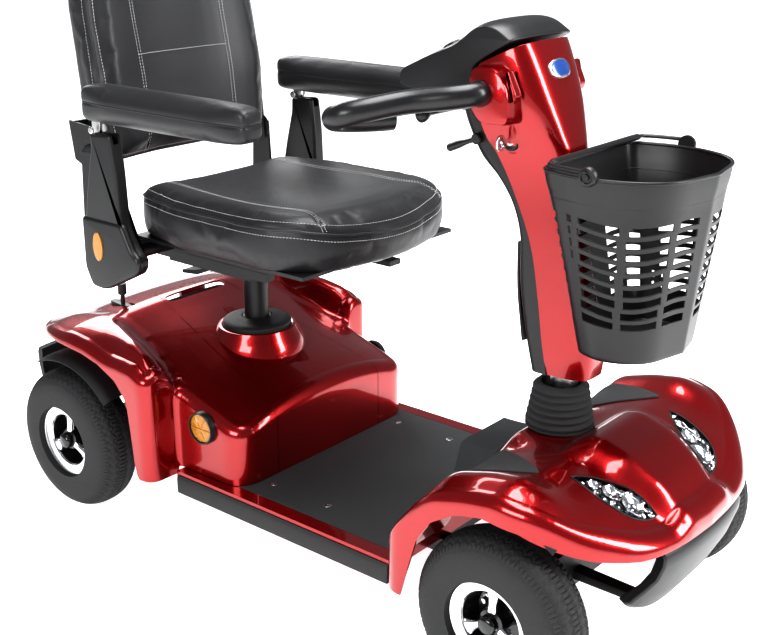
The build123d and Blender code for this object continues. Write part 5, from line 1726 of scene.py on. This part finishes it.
panel_grey = finish_of("panel_grey", (0.1, 0.1, 0.105), (0.075, 0.075, 0.08), 0.4, 900, 0.03)
signal_green = finish_of("lamp_green", (0.05, 0.42, 0.08), (0.03, 0.3, 0.05), 0.25, 300, 0.02, 0.0, 0.8)
signal_white = finish_of("print_white", (0.8, 0.8, 0.8), (0.7, 0.7, 0.7), 0.5, 600, 0.01)
on_panel("speed_dial_knob", [(0.1, 13), (12, 13), (15, 11.5), (16.4, 8), (16.8, 1), (0.1, 1)], 0, 0, satin_black, "dial",
         "black_plastic", "speed_dial", flutes=14)
pointer = [(-2, -1.2), (13, -1.2), (13, 1.2), (-2, 1.2)]
pointer_points = [panel_origin + panel_turn @ mm(x, y, level) for level in (12.6, 13.8) for x, y in pointer]
declare(add_mesh("speed_dial_pointer", pointer_points, [(3, 2, 1, 0), (4, 5, 6, 7), (0, 1, 5, 4), (1, 2, 6, 5),
                                                        (2, 3, 7, 6), (3, 0, 4, 7)], signal_white), "dial",
        "black_plastic")
for across, name, body in ((44, "horn_button", "horn"), (-44, "light_button", "lights")):
    on_panel(name + "_cap", [(0.1, 3.5), (5, 3.4), (7.2, 2.6), (7.9, 1), (7.9, -4), (0.1, -4)], across, 0, panel_grey, body,
             "black_plastic", name)
    on_panel(name + "_ring", [(8.5, -2), (8.5, 1.1), (10, 1.5), (11.4, 0.9), (11.8, -2)], across, 0, satin_black,
             "tiller", "black_plastic")
for k in range(5):
    on_panel(f"battery_lamp_{k + 1}", [(0.1, 1.7), (1.8, 1.5), (2.4, 0.4), (2.4, -2), (0.1, -2)], -20 + 10 * k, 30,
             signal_green, "tiller", "black_plastic")

# ---------------------------------------------------------------- handlebar and levers
# A steel bar in a smooth black sleeve loops back to the driver on each side. The paddle under it
# drives, and the small lever on the rear cover frees the tiller's tilt.

grip_sleeve = finish_of("grip_sleeve", (0.02, 0.02, 0.021), (0.014, 0.014, 0.015), 0.3, 1000, 0.03)


def smooth_path(corners, count=12):
    """A smooth line through corner points."""
    line = []
    for k in range(len(corners) - 1):
        p0, p1 = corners[max(0, k - 1)], corners[k]
        p2, p3 = corners[k + 1], corners[min(len(corners) - 1, k + 2)]
        for step in range(count):
            t = step / count
            line.append(0.5 * (2 * p1 + (p2 - p0) * t + (2 * p0 - 5 * p1 + 4 * p2 - p3) * t * t
                               + (3 * p1 - p0 - 3 * p2 + p3) * t ** 3))
    return line + [corners[-1]]


def swept(name, path, radius_at, finish, flat=1.0, count=32, closed=False):
    """A round section carried along a path without twisting; radius_at takes the share of the way."""
    rings = []
    way = (path[1] - path[0]).normalized()
    side_way = way.orthogonal().normalized()
    if abs(way.z) < 0.9:
        side_way = way.cross(Vector((0, 0, 1))).normalized()
    for k, point in enumerate(path):
        ahead = (path[min(k + 1, len(path) - 1)] - path[max(k - 1, 0)]).normalized()
        side_way = (side_way - ahead * side_way.dot(ahead)).normalized()
        up = ahead.cross(side_way)
        radius = radius_at(k / (len(path) - 1))
        rings.append([point + mm(*(side_way * cos(a) * radius + up * sin(a) * radius * flat))
                      for a in [2 * pi * j / count for j in range(count)]])
    points, faces = skin(rings)
    return add_mesh(name, points, faces, finish, 50)


def rounded_end(share):
    """The sleeve's radius: full, closing to a dome at its free end."""
    if share > 0.985:
        return 17 * sqrt(max(0.03, 1 - ((share - 0.985) / 0.015) ** 2))
    return 17


for side_name, side in (("left", 1), ("right", -1)):
    corners = [mm(280, side * 98, 812), mm(280, side * 112, 812), mm(262, side * 134, 809), mm(210, side * 170, 802),
               mm(174, side * 222, 793), mm(152, side * 238, 787), mm(128, side * 228, 778), mm(130, side * 200, 773),
               mm(148, side * 166, 771), mm(162, side * 140, 771)]
    path = smooth_path(corners, 14)
    grip = swept(f"handlebar_sleeve_{side_name}", path, rounded_end, grip_sleeve)
    declare(grip, "tiller", "foam_grip", *(["handlebar"] if side == 1 else []))
    collar_ring = [(11, 95), (17.4, 95), (18.4, 96), (18.4, 102), (17.4, 103), (11, 103)]
    collar_piece = turned(f"handlebar_collar_{side_name}", collar_ring, mm(280, 0, 812), side, satin_black, 48)
    declare(collar_piece, "tiller", "black_plastic")
bar_core = turned("handlebar_core", [(0.1, -99), (11, -99), (11, 99), (0.1, 99)], mm(280, 0, 812), 1, zinc_plate, 32)
declare(bar_core, "tiller", "steel")

pivot_x = hinge["wigwag_throw"]["pos_m"][0] * 1000
paddle_rings = []
for k in range(61):
    y = -113 + 226 * k / 60
    end = ramp_up(84, 104, abs(y))
    tip = 1 - ramp_up(106, 113.5, abs(y)) * 0.75
    half_x, half_z = (5 + 6 * end) * tip, (3.6 + 7.5 * end) * tip
    paddle_rings.append([mm(pivot_x + half_x * cos(a), y, 773 + half_z * sin(a)) for a in
                         [2 * pi * j / 20 for j in range(20)]])
points, faces = skin(paddle_rings)
declare(add_mesh("throttle_paddle", points, faces, satin_black, 60), "wigwag", "black_plastic", "wigwag_lever")
hub_profile = [(0.1, 768), (8, 768), (10, 770), (10, 787), (8, 789.5), (4, 789.5), (4, 801), (0.1, 801)]
declare(turned_up("throttle_hub", hub_profile, mm(pivot_x, 0, 0), satin_black, 40), "wigwag", "black_plastic")

lever_joint = Vector(hinge["tilt_release_squeeze"]["pos_m"]) * 1000
lever_y = (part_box("tilt_lever")[0].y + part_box("tilt_lever")[1].y) * 500
lever_path = smooth_path([mm(lever_joint.x, lever_y, lever_joint.z), mm(lever_joint.x - 16, lever_y, lever_joint.z - 6),
                          mm(lever_joint.x - 34, lever_y, lever_joint.z - 13),
                          mm(lever_joint.x - 51, lever_y, lever_joint.z - 20)], 10)


def lever_radius(share):
    """Thin at its root and fat at its grip, with a domed end."""
    if share > 0.94:
        return 7.2 * sqrt(max(0.05, 1 - ((share - 0.94) / 0.06) ** 2))
    return 4.6 + 2.6 * ramp_up(0.35, 0.75, share)


declare(swept("tilt_lever_grip", lever_path, lever_radius, satin_black, 0.85), "tilt_release", "black_plastic",
        "tilt_lever")
lever_hub = [(0.1, abs(lever_y) - 6), (8, abs(lever_y) - 6), (8, abs(lever_y) + 4), (6.5, abs(lever_y) + 5.6),
             (0.1, abs(lever_y) + 5.8)]
declare(turned("tilt_lever_hub", lever_hub, mm(lever_joint.x, 0, lever_joint.z), -1, satin_black, 40), "tilt_release",
        "black_plastic")

# A plain blue enamel badge in a chrome rim, with no mark on it.
badge_blue = finish_of("badge_blue", (0.02, 0.08, 0.3), (0.012, 0.05, 0.22), 0.2, 400, 0.01, 0.0, 1.0)
badge_normal = (mm(334, 0, 864) - mm(348, 0, 832)).normalized().cross(Vector((0, 1, 0))).normalized()
if badge_normal.x < 0:
    badge_normal = -badge_normal
badge_centre = mm(346, 0, 842)
badge_up = -Vector((0, 1, 0)).cross(badge_normal)
for name, finish, slot_name, half_wide, half_tall, low, high in (
        ("badge_rim", bright_ring, "bright_steel", 27, 14, -3, 2.6),
        ("badge_face", badge_blue, "black_plastic", 24.6, 11.8, 0, 3.4)):
    rings = []
    for share, level in ((1.0, low), (1.0, high - 1), (0.96, high - 0.3), (0.8, high), (0.4, high + 0.3),
                         (0.03, high + 0.4)):
        rings.append([badge_centre + Vector((0, 1, 0)) * (half_wide * share * cos(a)) / 1000
                      + badge_up * (half_tall * share * sin(a)) / 1000
                      + badge_normal * (level - 4 * (cos(a) * share) ** 2) / 1000
                      for a in [2 * pi * j / 48 for j in range(48)]])
    points, faces = skin(rings)
    declare(add_mesh(name, points, faces, finish, 40), "tiller", slot_name)

# ---------------------------------------------------------------- basket
# A tapered moulded basket hangs on the tiller's bracket: a plain band at the rim and the foot, slots between upright
# ribs, a plain floor and a bail handle that folds down behind the rim.

basket_low, basket_high = (corner * 1000 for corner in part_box("basket"))
basket_floor_z = basket_low.z + 18
basket_rim_z = 727


def basket_plan(share):
    """The basket's outline at a share of its height: flat at the back, bowed in front."""
    rear = 444 + (396 - 444) * share
    widest = 492 + (482 - 492) * share
    front = 560 + (588 - 560) * share
    rear_half = 86 + (116 - 86) * share
    half = 104 + (138 - 104) * share
    corner = [(rear, 0, 0), (rear, rear_half, 16), (widest, half, 60), (front - 16, half * 0.74, 62), (front + 2, 0, 0)]
    return corner


def basket_wall(turn, share):
    """A point of the basket's wall: turn runs once round it, share runs up it."""
    side = 1 if turn < 0.5 else -1
    along_half = turn * 2 if side == 1 else 2 - turn * 2
    path = filleted(basket_plan(share), 4)
    lengths = [0.0]
    for a, b in zip(path, path[1:]):
        lengths.append(lengths[-1] + (b - a).length)
    want = lengths[-1] * along_half
    k = 1
    while k < len(lengths) - 1 and lengths[k] < want:
        k += 1
    span = max(1e-6, lengths[k] - lengths[k - 1])
    place = path[k - 1].lerp(path[k], (want - lengths[k - 1]) / span)
    return Vector((place.x, side * place.y))


rib_count = 10
cells_per_rib = 17
wall_turns = rib_count * cells_per_rib
slot_rows = 9
levels = [(0, False), (0.02, False), (0.08, False), (0.16, False)]
slot_start, slot_end = 0.2, 0.8
for k in range(slot_rows):
    low = slot_start + (slot_end - slot_start) * k / slot_rows
    high = slot_start + (slot_end - slot_start) * (k + 1) / slot_rows
    levels += [(low, True), (low + (high - low) * 0.6, False)]
levels += [(slot_end, False), (0.87, False), (0.93, False), (1.0, False)]
shares = [share for share, _ in levels]


def wall_point(turn_index, share):
    """A point of the wall, with the slots' rows rising and falling round the basket."""
    turn = (turn_index % wall_turns) / wall_turns
    wave = 0.018 * sin(2 * pi * turn * 4) * ramp_up(0.12, 0.3, share) * (1 - ramp_up(0.72, 0.88, share))
    place = basket_wall(turn, share)
    step_out = 1.6 if share > 0.9 else 0
    outward = (place - Vector((495, 0))).normalized() * step_out
    return mm(place.x + outward.x, place.y + outward.y, basket_floor_z + (basket_rim_z - basket_floor_z) * (share + wave))


wall_rings = [[wall_point(k, share) for k in range(wall_turns)] for share in shares]
points = [point for ring in wall_rings for point in ring]
faces = []
for row in range(len(shares) - 1):
    for k in range(wall_turns):
        cell = k % cells_per_rib
        share = shares[row]
        slanted = int(round(5 * (share - slot_start)))
        rib = (cell + slanted) % cells_per_rib
        turn = k / wall_turns
        plain = turn < 0.035 or turn > 0.965 or 0.475 < turn < 0.525 or 0.16 < turn < 0.19 or 0.81 < turn < 0.84
        if levels[row][1] and 2 < rib and not plain:
            continue
        a, b = row * wall_turns + k, row * wall_turns + (k + 1) % wall_turns
        faces.append((a, b, b + wall_turns, a + wall_turns))
floor_first = len(points)
centre = Vector((500, 0))
for share in (0.97, 0.7, 0.4, 0.1):
    for k in range(wall_turns):
        place = centre + (basket_wall(k / wall_turns, 0) - centre) * share
        points.append(mm(place.x, place.y, basket_floor_z - 0.4))
for row in range(3):
    for k in range(wall_turns):
        a, b = floor_first + row * wall_turns + k, floor_first + row * wall_turns + (k + 1) % wall_turns
        faces.append((a, b, b + wall_turns, a + wall_turns))
for k in range(wall_turns):
    faces.append((k, (k + 1) % wall_turns, floor_first + (k + 1) % wall_turns, floor_first + k))
faces.append(tuple(floor_first + 3 * wall_turns + k for k in range(wall_turns)))
basket = add_mesh("basket_shell", points, faces, satin_black, 45)
settle(thicken(basket, 2.6, 0))
rounding = basket.modifiers.new("soft_edges", "BEVEL")
rounding.width = 0.0006
rounding.segments = 1
rounding.limit_method = "ANGLE"
rounding.angle_limit = radians(60)
settle(basket)
basket.data.shade_smooth()
basket.data.set_sharp_from_angle(angle=radians(40))
declare(basket, "front_basket", "black_plastic", "basket")
rim_line = [wall_point(k, 1.0) for k in range(0, wall_turns, 2)]
declare(bead("basket_rim_bead", rim_line, 2.6, satin_black), "front_basket", "black_plastic")
band_line = [wall_point(k, 0.86) for k in range(0, wall_turns, 2)]
declare(bead("basket_band_bead", band_line, 1.5, satin_black), "front_basket", "black_plastic")
foot_line = [wall_point(k, 0.17) for k in range(0, wall_turns, 2)]
declare(bead("basket_foot_bead", foot_line, 1.3, satin_black), "front_basket", "black_plastic")
bail_pivot = Vector(hinge["bail_swing"]["pos_m"]) * 1000
for side_name, side in (("left", 1), ("right", -1)):
    lug_profile = [(0.1, 134), (13, 134), (13, 139), (11.5, 141.5), (9, 142), (7.5, 140.2), (4, 140.2), (3.4, 142.4),
                   (0.1, 142.6)]
    lug = turned(f"basket_lug_{side_name}", lug_profile, mm(bail_pivot.x, 0, bail_pivot.z - 6), side, satin_black, 48)
    declare(lug, "front_basket", "black_plastic")
bail_low, bail_high = (corner * 1000 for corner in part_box("basket_handle"))
bail_x = bail_low.x + 4
bail_path = smooth_path([mm(bail_pivot.x, -138, bail_pivot.z), mm(bail_x + 40, -137, bail_pivot.z),
                         mm(bail_x + 8, -128, bail_pivot.z), mm(bail_x, -108, bail_pivot.z),
                         mm(bail_x, 0, bail_pivot.z), mm(bail_x, 108, bail_pivot.z), mm(bail_x + 8, 128, bail_pivot.z),
                         mm(bail_x + 40, 137, bail_pivot.z), mm(bail_pivot.x, 138, bail_pivot.z)], 10)
declare(swept("basket_bail_handle", bail_path, lambda share: 3.4 + 2.2 * (1 if 0.36 < share < 0.64 else 0), satin_black,
              0.8, 20), "basket_bail", "black_plastic", "basket_handle")
